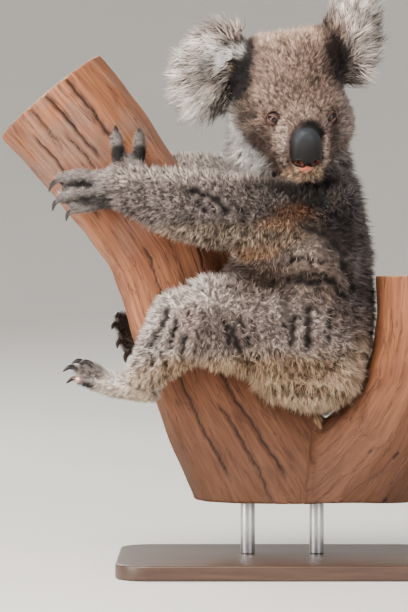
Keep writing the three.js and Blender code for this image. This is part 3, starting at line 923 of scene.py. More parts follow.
@dataclass
class Skin:
    """One closed skin under the coat, in place of all the nodes of flesh."""

    voxel: float = 2.5 * MM
    swell: float = 1.2 * MM
    smooth: int = 14
    fold: float = 4.5 * MM
    fill: int = 8
    blend: int = 24
    tint_blend: int = 30
    comb_blend: int = 16
    nose_y: float = -84.0
    head_run: float = 110.0
    face_depth: float = 2.2
    nape_depth: float = 6.0
    fold_painted_shade: float = 0.94
    edges: np.ndarray = field(init=False, repr=False)
    points: np.ndarray = field(init=False, repr=False)
    normals: np.ndarray = field(init=False, repr=False)
    faces: np.ndarray = field(init=False, repr=False)
    owners: np.ndarray = field(init=False, repr=False)
    depth: np.ndarray = field(init=False, repr=False)
    tints: np.ndarray = field(init=False, repr=False)
    lie: np.ndarray = field(init=False, repr=False)

    def build(self) -> None:
        """Makes the skin with its markings."""
        piece = piece_of("skin", merged_copy(FLESH, self.swell))
        modified(piece, "REMESH", mode="VOXEL", voxel_size=self.voxel)
        modified(piece, "SMOOTH", factor=0.5, iterations=self.smooth)
        settle(piece)
        shape = bmesh.new()
        shape.from_mesh(piece.data)
        bmesh.ops.triangulate(shape, faces=shape.faces)
        shape.to_mesh(piece.data)
        shape.free()
        mesh = piece.data
        self.edges = numbers(mesh.edges, "vertices", 2, np.int64)
        self.faces = numbers(mesh.polygons, "vertices", 3, np.int64)
        self.points = numbers(mesh.vertices, "co")
        self.owners, heights = Hide(FLESH).nearest(self.points)
        self._lower(mesh, heights)
        self._sculpt_face()
        self._comb()
        self.normals = self._normals(mesh)
        colours = painted(self.tints, self.points, self.normals)
        # painted shade: the skin is darkened in the folds under the partings
        for parting in PARTINGS:
            pull = parting.reach(self.points, self.normals)[0]
            colours = colours * (1 - self.fold_painted_shade * pull[:, None])
        store(mesh, "tint", "FLOAT_COLOR", colours)
        bare = np.max([b.holds(self.points) for b in BARE], axis=0).astype(float)
        store(mesh, "bare", "FLOAT", self._spread(bare[:, None], 1)[:, 0])
        mesh.shade_smooth()
        dress(piece, SkinFinish().material(), "fur", *FLESH)

    def _normals(self, mesh: bpy.types.Mesh) -> np.ndarray:
        """The vertex normals of the mesh as it stands."""
        mesh.vertices.foreach_set("co", self.points.ravel())
        mesh.update()
        return numbers(mesh.vertices, "normal")

    def _spread(self, values: np.ndarray, passes: int) -> np.ndarray:
        """Averages values over neighbouring vertices, several times."""
        first, second = self.edges.T
        total = len(values)
        count = np.bincount(self.edges.ravel(), minlength=total)[:, None]
        for _ in range(passes):
            near = np.stack([np.bincount(first, column[second], total)
                             + np.bincount(second, column[first], total)
                             for column in values.T], 1)
            values = (values + near / count) / 2
        return values

    def _lower(self, mesh: bpy.types.Mesh, heights: np.ndarray) -> None:
        """Sinks the skin under the tips of the coat, and makes up what smoothing took off.

        Args:
            mesh: the smoothed mesh.
            heights: how far each vertex stands above the frame's surface.
        """
        pelts = [PELTS[name] for name in FLESH]
        depth = np.array([p.depth for p in pelts])[self.owners] * MM
        local = (self.points - HEAD_AT) @ HEAD_AXES / MM
        head = self.owners == FLESH.index("head")
        nape = ease((local[:, 1] - self.nose_y) / self.head_run)
        depth[head] = ((self.face_depth + self.nape_depth * nape) * MM)[head]
        self.depth = self._spread(depth[:, None], self.blend)[:, 0]
        tints = np.array([linear(p.tint) for p in pelts])
        self.tints = self._spread(tints[self.owners], self.tint_blend)
        normals = unit(self._spread(self._normals(mesh), 6))
        filled = self._spread(heights[:, None], self.fill)[:, 0]
        self.points = self.points - normals * (self.depth + filled)[:, None]
        for parting in PARTINGS:
            pull = parting.reach(self.points, normals)[0]
            self.points = self.points - normals * pull[:, None] * self.fold
        self.points = self._spread(self.points, 3)

    def _sculpt_face(self) -> None:
        """Presses in the eye sockets and the lip's line, and raises the brows and the muzzle."""
        for press in FACE_PRESSES:
            local = (self.points - HEAD_AT) @ HEAD_AXES / MM
            self.points += (HEAD_AXES @ np.array(press.way)) * press.push(local)[:, None] * MM

    def _comb(self) -> None:
        """Works out which way the hair lies."""
        flow = np.zeros_like(self.points)
        for index, name in enumerate(FLESH):
            here, pelt = self.owners == index, PELTS[name]
            if pelt.lie is Lie.ALONG:
                flow[here] = unit(np.array(pelt.flow, float))
            else:
                start = np.array(pelt.flow) * MM
                if pelt.lie is Lie.FROM_NOSE:
                    start = on_head(*pelt.flow)
                flow[here] = unit(self.points[here] - start)
        self.lie = unit(self._spread(flow, self.comb_blend))


# ---------------------------------------------------------------- the coat


@dataclass(frozen=True)
class Lock:
    """The cut of one kind of lock.

    Lengths are shares of the coat's depth, widths and spacings are millimetres and
    lifts are degrees above the skin.
    """

    rings: int = 1
    reach: float = 1.9
    width: float = 1.0
    lift: tuple = (40.0, 40.0)
    ruffle: float = 8.0
    curl: float = 0.0
    spacing: float = 6.5
    pull: float = 0.55
    sway: float = 0.5
    stray: float = 0.25
    pepper: float = 0.4
    dark: float = 0.35
    mottle: float = 0.25
    # gap sets the painted shade between clumps, with painted light on their crests
    gap: float = 0.5


WOOL = Lock(reach=1.3, width=0.95, lift=(50.0, 50.0), ruffle=14, spacing=4.2, pull=0.6, sway=0.6,
            pepper=0.42, mottle=0.45, gap=0.7)
FLEECE = Lock(reach=1.02, width=0.82, lift=(63.0, 63.0), ruffle=16, spacing=3.3, pull=0.55,
              sway=0.8, pepper=0.26, dark=0.3, mottle=0.42, gap=0.8)
SHAG = Lock(reach=1.3, width=0.85, lift=(42.0, 42.0), ruffle=12, spacing=3.4, pull=0.42, sway=0.5,
            pepper=0.3, dark=0.4, mottle=0.3, gap=0.5)
ARM = Lock(reach=1.15, width=0.82, lift=(58.0, 58.0), ruffle=16, spacing=3.0, pull=0.62, sway=0.8,
           pepper=0.42, dark=0.22, mottle=0.5, gap=0.7)
FRINGE = Lock(rings=2, reach=1.95, width=0.8, lift=(50.0, 10.0), curl=0.06, spacing=6.5, pull=0.6,
              sway=0.3, stray=0.16, pepper=0.3, dark=0.2, mottle=0.45, gap=0.6)
PLUSH = Lock(reach=1.5, width=0.85, lift=(46.0, 46.0), ruffle=12, spacing=2.9, pull=0.45, sway=0.5,
             pepper=0.4, dark=0.22, mottle=0.5, gap=0.65)
VELVET = Lock(reach=1.8, width=0.72, lift=(40.0, 40.0), ruffle=10, spacing=2.4, pull=0.35,
              sway=0.45, stray=0.3, pepper=0.4, dark=0.2, mottle=0.7, gap=0.65)
SHORT = Lock(reach=2.2, width=0.8, lift=(30.0, 30.0), spacing=2.6, pull=0.3, pepper=0.36, dark=0.35,
             mottle=0.3, gap=0.3)


@dataclass(frozen=True)
class Region:
    """One piece of the coat: the parts it covers, its number of locks and their cut."""

    name: str
    nodes: tuple
    count: int
    lock: Lock
    face: float | None = None


FACE_LINE = -22.0
REGIONS = (
    Region("coat_face", ("head",), 46000, VELVET, -1.0),
    Region("coat_head", ("head",), 30000, PLUSH, 1.0),
    Region("coat_ear_left", ("ear_left",), 12000, FRINGE),
    Region("coat_ear_right", ("ear_right",), 8000, FRINGE),
    Region("coat_chest", ("neck", "chest"), 34000, WOOL),
    Region("coat_belly", ("belly",), 24000, FLEECE),
    Region("coat_rump", ("rump",), 34000, SHAG),
    Region("coat_arm_left", ("upper_arm_left", "forearm_left"), 44000, ARM),
    Region("coat_arm_right", ("upper_arm_right", "forearm_right"), 18000, ARM),
    Region("coat_leg_left", ("thigh_left", "shin_left"), 44000, FLEECE),
    Region("coat_leg_right", ("thigh_right", "shin_right"), 18000, FLEECE),
    Region("coat_hands", ("hand_left", "hand_right"), 16000, SHORT),
    Region("coat_feet", ("foot_left", "foot_right"), 14000, SHORT),
)


@dataclass
class Roots:
    """Where a region's locks stand, and what the skin is like there."""

    place: np.ndarray
    normal: np.ndarray
    lie: np.ndarray
    depth: np.ndarray
    tint: np.ndarray
    uv: np.ndarray
    area: float


@dataclass
class Coat:
    """The coat, grown in pieces from the skin.

    White hair is calmer than the rest, which keeps it bright: it has less of the
    pepper, the patchiness, and the painted shade between clumps with painted light on
    their crests. At a parting the locks are cropped, darkened with painted shade and
    turned aside, with a painted highlight on the rim.
    """

    skin: Skin
    wood: BVHTree
    first_seed: int = 1000
    patch: float = 0.003
    sunk: float = 0.7 * MM
    softness: float = 0.5
    flat: float = 0.6
    taper: tuple = (0.75, 1.0, 0.8)
    clump_length: tuple = (0.78, 1.14)
    lock_length: tuple = (0.75, 1.2)
    lock_width: tuple = (0.7, 1.25)
    lock_glow: tuple = (0.82, 1.18)
    calm: float = 0.75
    pale: float = 0.64
    pale_run: float = 0.25
    crest_painted_light: float = 0.35
    drift: float = 0.14
    cropped: float = 0.7
    # darkened sets the painted shade in a parting, and the next field the painted highlight on its
    # rim
    darkened: float = 0.96
    rim_painted_highlight: float = 0.9
    lean: float = 1.3

    def build(self) -> None:
        """Grows every region."""
        material = CoatFinish().material()
        for seed, region in enumerate(REGIONS, self.first_seed):
            dress(self._grow(region, np.random.default_rng(seed)), material, "fur")

    def _ground(self, region: Region) -> np.ndarray:
        """The skin's faces that a region covers."""
        skin = self.skin
        wanted = [FLESH.index(name) for name in region.nodes]
        chosen = np.isin(skin.owners[skin.faces[:, 0]], wanted)
        if region.face is not None:
            middle = skin.points[skin.faces].mean(1)
            ahead = ((middle - HEAD_AT) @ HEAD_AXES[:, 1]) / MM - FACE_LINE
            chosen &= np.sign(ahead) == region.face
        return skin.faces[chosen]

    def _unwrap(self, faces: np.ndarray) -> np.ndarray:
        """Unwraps some of the skin's faces over the whole map.

        Args:
            faces: the vertices of each face.

        Returns:
            The map's place of each corner of each face.
        """
        mesh = bpy.data.meshes.new("ground")
        used, corners = np.unique(faces, return_inverse=True)
        mesh.from_pydata(self.skin.points[used].tolist(), [], corners.reshape(-1, 3).tolist())
        piece = linked("ground", mesh)
        bpy.ops.object.select_all(action="DESELECT")
        bpy.context.view_layer.objects.active = piece
        piece.select_set(True)
        mesh.uv_layers.new(name="ground")
        bpy.ops.object.mode_set(mode="EDIT")
        bpy.ops.mesh.select_all(action="SELECT")
        bpy.ops.uv.smart_project(angle_limit=1.15, island_margin=0.004, scale_to_bounds=True)
        bpy.ops.object.mode_set(mode="OBJECT")
        places = numbers(mesh.uv_layers[0].uv, "vector", 2).reshape(-1, 3, 2)
        bpy.data.objects.remove(piece)
        bpy.data.meshes.remove(mesh)
        low, high = places.min((0, 1)), places.max((0, 1))
        return (places - low) / (high - low)

    def _roots(self, region: Region, rng: np.random.Generator) -> Roots:
        """Spreads a region's roots evenly over its ground, apart from the bare places."""
        skin = self.skin
        faces = self._ground(region)
        maps = self._unwrap(faces)
        corners = skin.points[faces]
        sides = corners[:, 1:] - corners[:, :1]
        area = np.linalg.norm(np.cross(sides[:, 0], sides[:, 1]), axis=1) / 2
        spots = (np.arange(region.count) + rng.random(region.count)) / region.count * area.sum()
        chosen = np.minimum(np.searchsorted(np.cumsum(area), spots), len(faces) - 1)
        first, second = rng.random((2, region.count))
        flip = first + second > 1
        first[flip], second[flip] = 1 - first[flip], 1 - second[flip]
        weights = np.stack((1 - first - second, first, second), 1)[:, :, None]
        place = (corners[chosen] * weights).sum(1)
        keep = ~np.any([bare.holds(place) for bare in BARE], axis=0)
        place, uv = place[keep], (maps[chosen] * weights).sum(1)[keep]
        normal, lie, depth, tints = (
            (values[faces[chosen]] * weights).sum(1)[keep]
            for values in (skin.normals, skin.lie, skin.depth[:, None], skin.tints))
        normal = unit(normal)
        tint = painted(tints, place, normal)
        return Roots(place, normal, lie, depth[:, 0], tint, uv, area.sum())

    def _grow(self, region: Region, rng: np.random.Generator) -> bpy.types.Object:
        """Grows one region's locks.

        Args:
            region: what to grow, and where.
            rng: the region's own random numbers.

        Returns:
            A mesh of closed, tapering locks.
        """
        lock, at = region.lock, self._roots(region, rng)
        root, normal, total = at.place, at.normal, len(at.place)
        clumps = max(8, int(at.area / (lock.spacing * MM) ** 2))
        centres = rng.choice(total, min(clumps, total), replace=False)
        clump = nearest_of(root[centres], root)
        middle = centres[clump]
        aside = np.linalg.norm(root - root[middle], axis=1) / (lock.spacing * MM)
        ruffle = rng.normal(0, lock.ruffle, len(centres))[clump]
        sway = rng.normal(0, lock.sway, len(centres))[clump] + rng.normal(0, lock.stray, total)
        grown = rng.uniform(*self.clump_length, len(centres))[clump]
        grown = grown * rng.uniform(*self.lock_length, total)
        glow = rng.uniform(1 - lock.mottle, 1 + lock.mottle, len(centres))[clump]

        along = unit(at.lie - normal * rows_dot(at.lie, normal))
        across = np.cross(normal, along)
        turn, slide = np.cos(sway)[:, None], np.sin(sway)[:, None]
        along, across = along * turn + across * slide, across * turn - along * slide
        calm = 1 - self.calm * ease((at.tint.min(1) - self.pale) / self.pale_run)
        gap = lock.gap * calm
        # painted shade in the gaps between clumps and painted light on their crests
        shade = 1 + self.crest_painted_light * gap - gap * ease(aside / 0.85) * 1.25
        glow = 1 + (glow - 1) * (0.3 + 0.7 * calm) + drift(root, rng) * self.drift * calm
        length, shade, lean = self._part(at, along, at.depth * lock.reach * grown, shade)

        step = length[:, None] / lock.rings
        to_middle = root[middle] - root
        to_middle -= normal * rows_dot(to_middle, normal)
        phase = rng.uniform(0, 2 * np.pi, total)
        line = [root - normal * self.sunk]
        spine = root
        for ring in range(1, lock.rings + 1):
            lift = np.interp((ring - 1) / max(lock.rings - 1, 1), (0, 1), lock.lift) + ruffle
            lift = np.radians(np.clip(lift, 5, 80))[:, None]
            way = unit(along * np.cos(lift) + normal * np.sin(lift) + lean * self.lean)
            spine = spine + way * step
            share = ring / lock.rings
            bend = (np.sin(phase + ring * 2.3) - np.sin(phase)) * lock.curl * length
            line.append(spine + to_middle * lock.pull * share + across * bend[:, None])
        line = self._clear_of_wood(np.stack(line, 1), root)

        thick = lock.width * MM * rng.uniform(*self.lock_width, total)
        mesh = self._locks(line, across, thick, lock.rings, normal)
        mesh.name = region.name
        peppered = rng.random(total) < lock.pepper * calm
        glow = glow * rng.uniform(*self.lock_glow, total) * shade
        glow = np.where(peppered, glow * lock.dark, glow)
        colours = np.clip(at.tint * glow[:, None], 0, 1)
        store(mesh, "tint", "FLOAT_COLOR", np.repeat(colours, 3 * lock.rings + 1, 0))
        heights = np.append(np.repeat(np.arange(lock.rings) / lock.rings, 3), 1.0)
        store(mesh, "along", "FLOAT", np.tile(heights, total))
        self._map(mesh, at.uv, lock.rings)
        return linked(region.name, mesh)

    def _part(self, at: Roots, along: np.ndarray, length: np.ndarray, shade: np.ndarray) -> tuple:
        """Opens the coat at the partings.

        Args:
            at: the locks' roots.
            along: the way each lock lies.
            length: each lock's length.
            shade: each lock's brightness.

        Returns:
            The lengths, cropped there, the shades, darkened there with painted shade and with a
            painted highlight at the rim, and how each lock leans aside.
        """
        tip = at.place + (along * 0.6 + at.normal * 0.5) * length[:, None]
        lean = np.zeros_like(at.place)
        for parting in PARTINGS:
            pull, away = parting.reach(at.place, at.normal)
            over = np.maximum(pull, parting.reach(tip, at.normal)[0])
            length = length * (1 - self.cropped * over)
            # painted shade in the parting, and a painted highlight on the locks at its rim
            shade = shade * (1 - self.darkened * pull) * (1 + self.rim_painted_highlight * over * (1 - over))
            lean += away * over[:, None]
        return length, shade, lean

    def _clear_of_wood(self, line: np.ndarray, root: np.ndarray) -> np.ndarray:
        """Shortens the locks whose tips would go into the perch."""
        share = np.ones(len(root))
        for index, tip in enumerate(line[:, -1].tolist()):
            place, normal, _, _ = self.wood.find_nearest(tip)
            if (Vector(tip) - place).dot(normal) < 0:
                share[index] = 0.3
        return root[:, None] + (line - root[:, None]) * share[:, None, None]

    def _locks(self, line: np.ndarray, across: np.ndarray, thick: np.ndarray, rings: int,
               normal: np.ndarray) -> bpy.types.Mesh:
        """Makes a mesh of three-sided locks along their lines.

        Args:
            line: the points of each lock, from root to tip.
            across: each lock's sideways direction.
            thick: each lock's width.
            rings: how many rings of three points a lock has below its tip.
            normal: the skin's normal at each root.

        Returns:
            The mesh, with every lock closed and shaded softly, as a part of the whole coat.
        """
        total = len(line)
        places = np.empty((total, 3 * rings + 1, 3))
        shading = np.empty_like(places)
        for ring in range(rings):
            way = unit(line[:, ring + 1] - line[:, ring])
            above = np.cross(way, across)
            for side in range(3):
                angle = 2 * math.pi * side / 3 + math.pi / 6
                out = across * math.cos(angle) + above * math.sin(angle) * self.flat
                half = thick * self.taper[ring] / 2
                places[:, 3 * ring + side] = line[:, ring] + out * half[:, None]
                soft = normal * self.softness + unit(out) * (1 - self.softness)
                shading[:, 3 * ring + side] = unit(soft)
        places[:, -1] = line[:, -1]
        shading[:, -1] = unit(normal + 0.5 * unit(line[:, -1] - line[:, -2]))
        pattern = [(2, 1, 0)]
        for ring in range(rings - 1):
            for side in range(3):
                a, b = 3 * ring + side, 3 * ring + (side + 1) % 3
                pattern += [(a, b, b + 3), (a, b + 3, a + 3)]
        top = 3 * (rings - 1)
        pattern += [(top + side, top + (side + 1) % 3, 3 * rings) for side in range(3)]
        starts = np.arange(total)[:, None, None] * (3 * rings + 1)
        corners = (np.array(pattern)[None] + starts).ravel()
        mesh = bpy.data.meshes.new("locks")
        mesh.vertices.add(total * (3 * rings + 1))
        mesh.vertices.foreach_set("co", places.ravel().astype(np.float32))
        mesh.loops.add(len(corners))
        mesh.loops.foreach_set("vertex_index", corners.astype(np.int32))
        mesh.polygons.add(len(corners) // 3)
        mesh.polygons.foreach_set("loop_start", np.arange(0, len(corners), 3, dtype=np.int32))
        mesh.update(calc_edges=True)
        mesh.shade_smooth()
        mesh.normals_split_custom_set_from_vertices(shading.reshape(-1, 3).tolist())
        return mesh

    def _map(self, mesh: bpy.types.Mesh, uv: np.ndarray, rings: int) -> None:
        """Lays each lock's faces in a small patch of the map at its root's place."""
        pattern = [(0.1, 0.0), (0.9, 0.0), (0.5, 0.08)]
        for ring in range(rings):
            low, high = ring / rings, (ring + 1) / rings
            for side in range(3):
                left, right = side / 3, (side + 1) / 3
                pattern += [(left, low), (right, low)]
                if ring < rings - 1:
                    pattern += [(right, high), (left, low), (right, high), (left, high)]
                else:
                    pattern += [((left + right) / 2, 1.0)]
        start = uv * (1 - self.patch)
        places = start[:, None] + np.array(pattern)[None] * self.patch
        layer = mesh.uv_layers.new(name="OFBake")
        layer.uv.foreach_set("vector", places.astype(np.float32).ravel())


# ---------------------------------------------------------------- eyes, nose and claws


@dataclass
class Eye:
    """One eyeball with its lids."""

    node: str
    radius: float = 8.2 * MM
    slant: float = 34.0
    splay: float = 20.0
    drop: float = 6.0
    opening: tuple = (5.7, 2.25)
    tear: float = 2.2
    cornea: float = 0.5 * MM
    cornea_from: float = 0.75
    lid_limit: float = 86.0
    lid_wall: float = 0.5 * MM

    def build(self) -> None:
        """Makes the ball and its lids, both turned outwards with the gaze."""
        x, y, z = EYES[self.node]
        side = math.copysign(1, x)
        centre = Vector(on_head(x, y, z))
        gaze = HEAD_FRAME.to_3x3() @ Euler(
            (math.radians(-self.drop), 0, math.radians(self.splay * side)), "XYZ").to_matrix()
        ball = bmesh.new()
        bmesh.ops.create_uvsphere(ball, u_segments=40, v_segments=28, radius=self.radius)
        bmesh.ops.rotate(ball, verts=ball.verts, matrix=Matrix.Rotation(math.pi / 2, 3, "X"))
        for vert in ball.verts:
            ahead = -vert.co.y / self.radius
            if ahead > self.cornea_from:
                vert.co.y -= self.cornea * (ahead - self.cornea_from) / (1 - self.cornea_from)
        place = Matrix.Translation(centre) @ gaze.to_4x4()
        bmesh.ops.transform(ball, verts=ball.verts, matrix=place)
        piece = piece_of(self.node + "ball", ball)
        finish = EyeFinish(tuple(centre), tuple(gaze.to_euler()))
        dress(piece, finish.material(), "eye", self.node)
        self._lids(centre, gaze, side)

    def _lids(self, centre: Vector, gaze: Matrix, side: float) -> None:
        """A shell round the ball with an almond opening."""
        shell = bmesh.new()
        bmesh.ops.create_uvsphere(shell, u_segments=56, v_segments=30, radius=1.0)
        limit = math.radians(self.lid_limit)
        pole = [v for v in shell.verts
                if v.co.z > math.cos(math.radians(5)) or v.co.z < math.cos(limit + 0.02)]
        bmesh.ops.delete(shell, geom=pole, context="VERTS")
        first = math.pi / 30
        for vert in shell.verts:
            down = math.acos(max(-1.0, min(1.0, vert.co.z)))
            turn = math.atan2(vert.co.y, vert.co.x)
            share = (down - first) / (limit - first)
            edge = self._edge(turn, side)
            angle = edge + (limit - edge) * share
            lip = math.exp(-((share - 0.14) / 0.16) ** 2)
            reach = self.radius + (0.25 + 0.7 * lip - 1.9 * share) * MM
            vert.co = Vector((math.sin(angle) * math.cos(turn), -math.cos(angle),
                              math.sin(angle) * math.sin(turn))) * reach
        bmesh.ops.recalc_face_normals(shell, faces=shell.faces)
        whole = shell.faces[:] + shell.edges[:] + shell.verts[:]
        bmesh.ops.solidify(shell, geom=whole, thickness=self.lid_wall)
        place = Matrix.Translation(centre) @ gaze.to_4x4()
        bmesh.ops.transform(shell, verts=shell.verts, matrix=place)
        piece = piece_of(self.node.replace("eye", "lids"), shell)
        local = (numbers(piece.data.vertices, "co") - np.array(centre)) @ np.array(gaze)
        down = np.arccos(np.clip(-local[:, 1] / np.linalg.norm(local, axis=1), -1, 1))
        edge = np.array([self._edge(math.atan2(z, x), side) for x, _, z in local.tolist()])
        store(piece.data, "rim", "FLOAT", np.clip((down - edge) / (limit - edge), 0, 1))
        dress(piece, LidFinish().material(), "nose_leather")

    def _edge(self, turn: float, side: float) -> float:
        """The half angle of the slanted opening in one direction, longest at its inner corner."""
        wide, high = self.opening
        turn -= math.radians(self.slant) * side
        across, up = math.cos(turn), math.sin(turn)
        reach = 1 / math.sqrt((across / wide) ** 2 + (up / high) ** 2)
        inner = max(0.0, -across * side) ** 8
        return math.asin(min(0.95, (reach + self.tear * inner) * MM / self.radius))


@dataclass
class Nose:
    """The leather pad, broadest low down, with two comma nostrils."""

    size: tuple = (16.9, 13.2, 21.4)
    tilt: float = 12.0
    nostril: tuple = (8.8, -14.5)
    nostril_depth: float = 6.0
    nostril_turn: float = 24.0
    square: float = 2.7
    notch: float = 2.4
    cleft: float = 1.0

    def build(self) -> None:
        """Makes the pad."""
        pad = bmesh.new()
        bmesh.ops.create_icosphere(pad, subdivisions=6, radius=1.0)
        heights, pinks = [], []
        for vert in pad.verts:
            x, y, z = vert.co
            power = self.square + (0.5 if z < 0 else 0.0)
            full = (1 - min(1.0, abs(z)) ** power) ** (1 / power)
            full /= max(math.sqrt(max(0.0, 1 - z * z)), 1e-6)
            x *= self.size[0] * full * (1 - 0.1 * z - 0.05 * z * z)
            y *= self.size[1] * full
            notch = math.exp(-(x / 3.2) ** 2) * float(ease(np.array((-z - 0.6) / 0.35)))
            z = z * self.size[2] + self.notch * notch
            heights.append((z / self.size[2] + 1) / 2)
            deep, pink = self._nostril(abs(x), z) if y < 0 else (0.0, 0.0)
            cleft = math.exp(-(x / 1.3) ** 2) * float(ease(np.array((-z - 8) / 10)))
            y += deep + self.cleft * cleft
            pinks.append(pink)
            vert.co = Vector((x, y, z)) * MM
        tilt = Matrix.Rotation(math.radians(self.tilt), 4, "X")
        place = HEAD_FRAME @ Matrix.Translation(Vector(NOSE_AT) * MM) @ tilt
        bmesh.ops.transform(pad, verts=pad.verts, matrix=place)
        piece = piece_of("nose_pad", pad)
        store(piece.data, "height", "FLOAT", np.array(heights))
        store(piece.data, "pink", "FLOAT", np.array(pinks))
        dress(piece, NoseFinish().material(), "nose_leather", "nose")
        self._lip()

    def _nostril(self, x: float, z: float) -> tuple[float, float]:
        """How deep the nostril is at a place on the pad, and how pink."""
        turn = math.radians(self.nostril_turn)
        across, up = x - self.nostril[0], z - self.nostril[1]
        along = across * math.cos(turn) + up * math.sin(turn)
        over = up * math.cos(turn) - across * math.sin(turn) + 0.06 * along * along
        reach = (along / 4.4) ** 2 + (over / 2.2) ** 2
        deep = self.nostril_depth * math.exp(-reach * 1.6)
        rim = -0.8 * math.exp(-((math.sqrt(reach) - 1.5) / 0.4) ** 2)
        return deep + rim, 0.6 * math.exp(-((math.sqrt(reach) - 0.75) / 0.3) ** 2)

    def _lip(self) -> None:
        """The bare pink lip under the pad."""
        lip = bmesh.new()
        bmesh.ops.create_uvsphere(lip, u_segments=32, v_segments=20, radius=1.0)
        for vert in lip.verts:
            x, y, z = vert.co
            bend = 1.3 * x * x
            vert.co = Vector((x * 8.0, y * 5.5 + 2.0 * x * x, z * 4.4 - bend)) * MM
        bmesh.ops.transform(lip, verts=lip.verts, matrix=HEAD_FRAME @ Matrix.Translation(
            Vector((-1, -67, -78)) * MM))
        piece = piece_of("lip", lip)
        graph = Graph("lip", Roughness=0.4, Specular_IOR_Level=0.4)
        fine = graph.noise(graph.place(), 500, 3)
        graph.feed("Base Color", graph.ramp(fine, (0.3, (196, 100, 80)), (0.7, (222, 136, 108))))
        graph.bump(fine, 0.0003, 0.4)
        dress(piece, graph.material, "nose_leather")


@dataclass
class Claws:
    """The curved claws, one piece for each."""

    swell: float = 0.35 * MM
    rounds: int = 2

    def build(self) -> None:
        """Rounds every claw of the frame."""
        material = ClawFinish().material()
        for name in sorted(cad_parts):
            if name.startswith("claw_"):
                piece = piece_of(name + "_horn", merged_copy((name,), self.swell))
                modified(piece, "SUBSURF", levels=self.rounds, render_levels=self.rounds)
                dress(piece, material, "claw", name)


# ---------------------------------------------------------------- the perch and its stand


@dataclass(frozen=True)
class Crack:
    """A long drying crack: its run along the wood and its angle, in millimetres and degrees."""

    start: float
    end: float
    angle: float
    width: float
    depth: float
    wander: float = 1.6


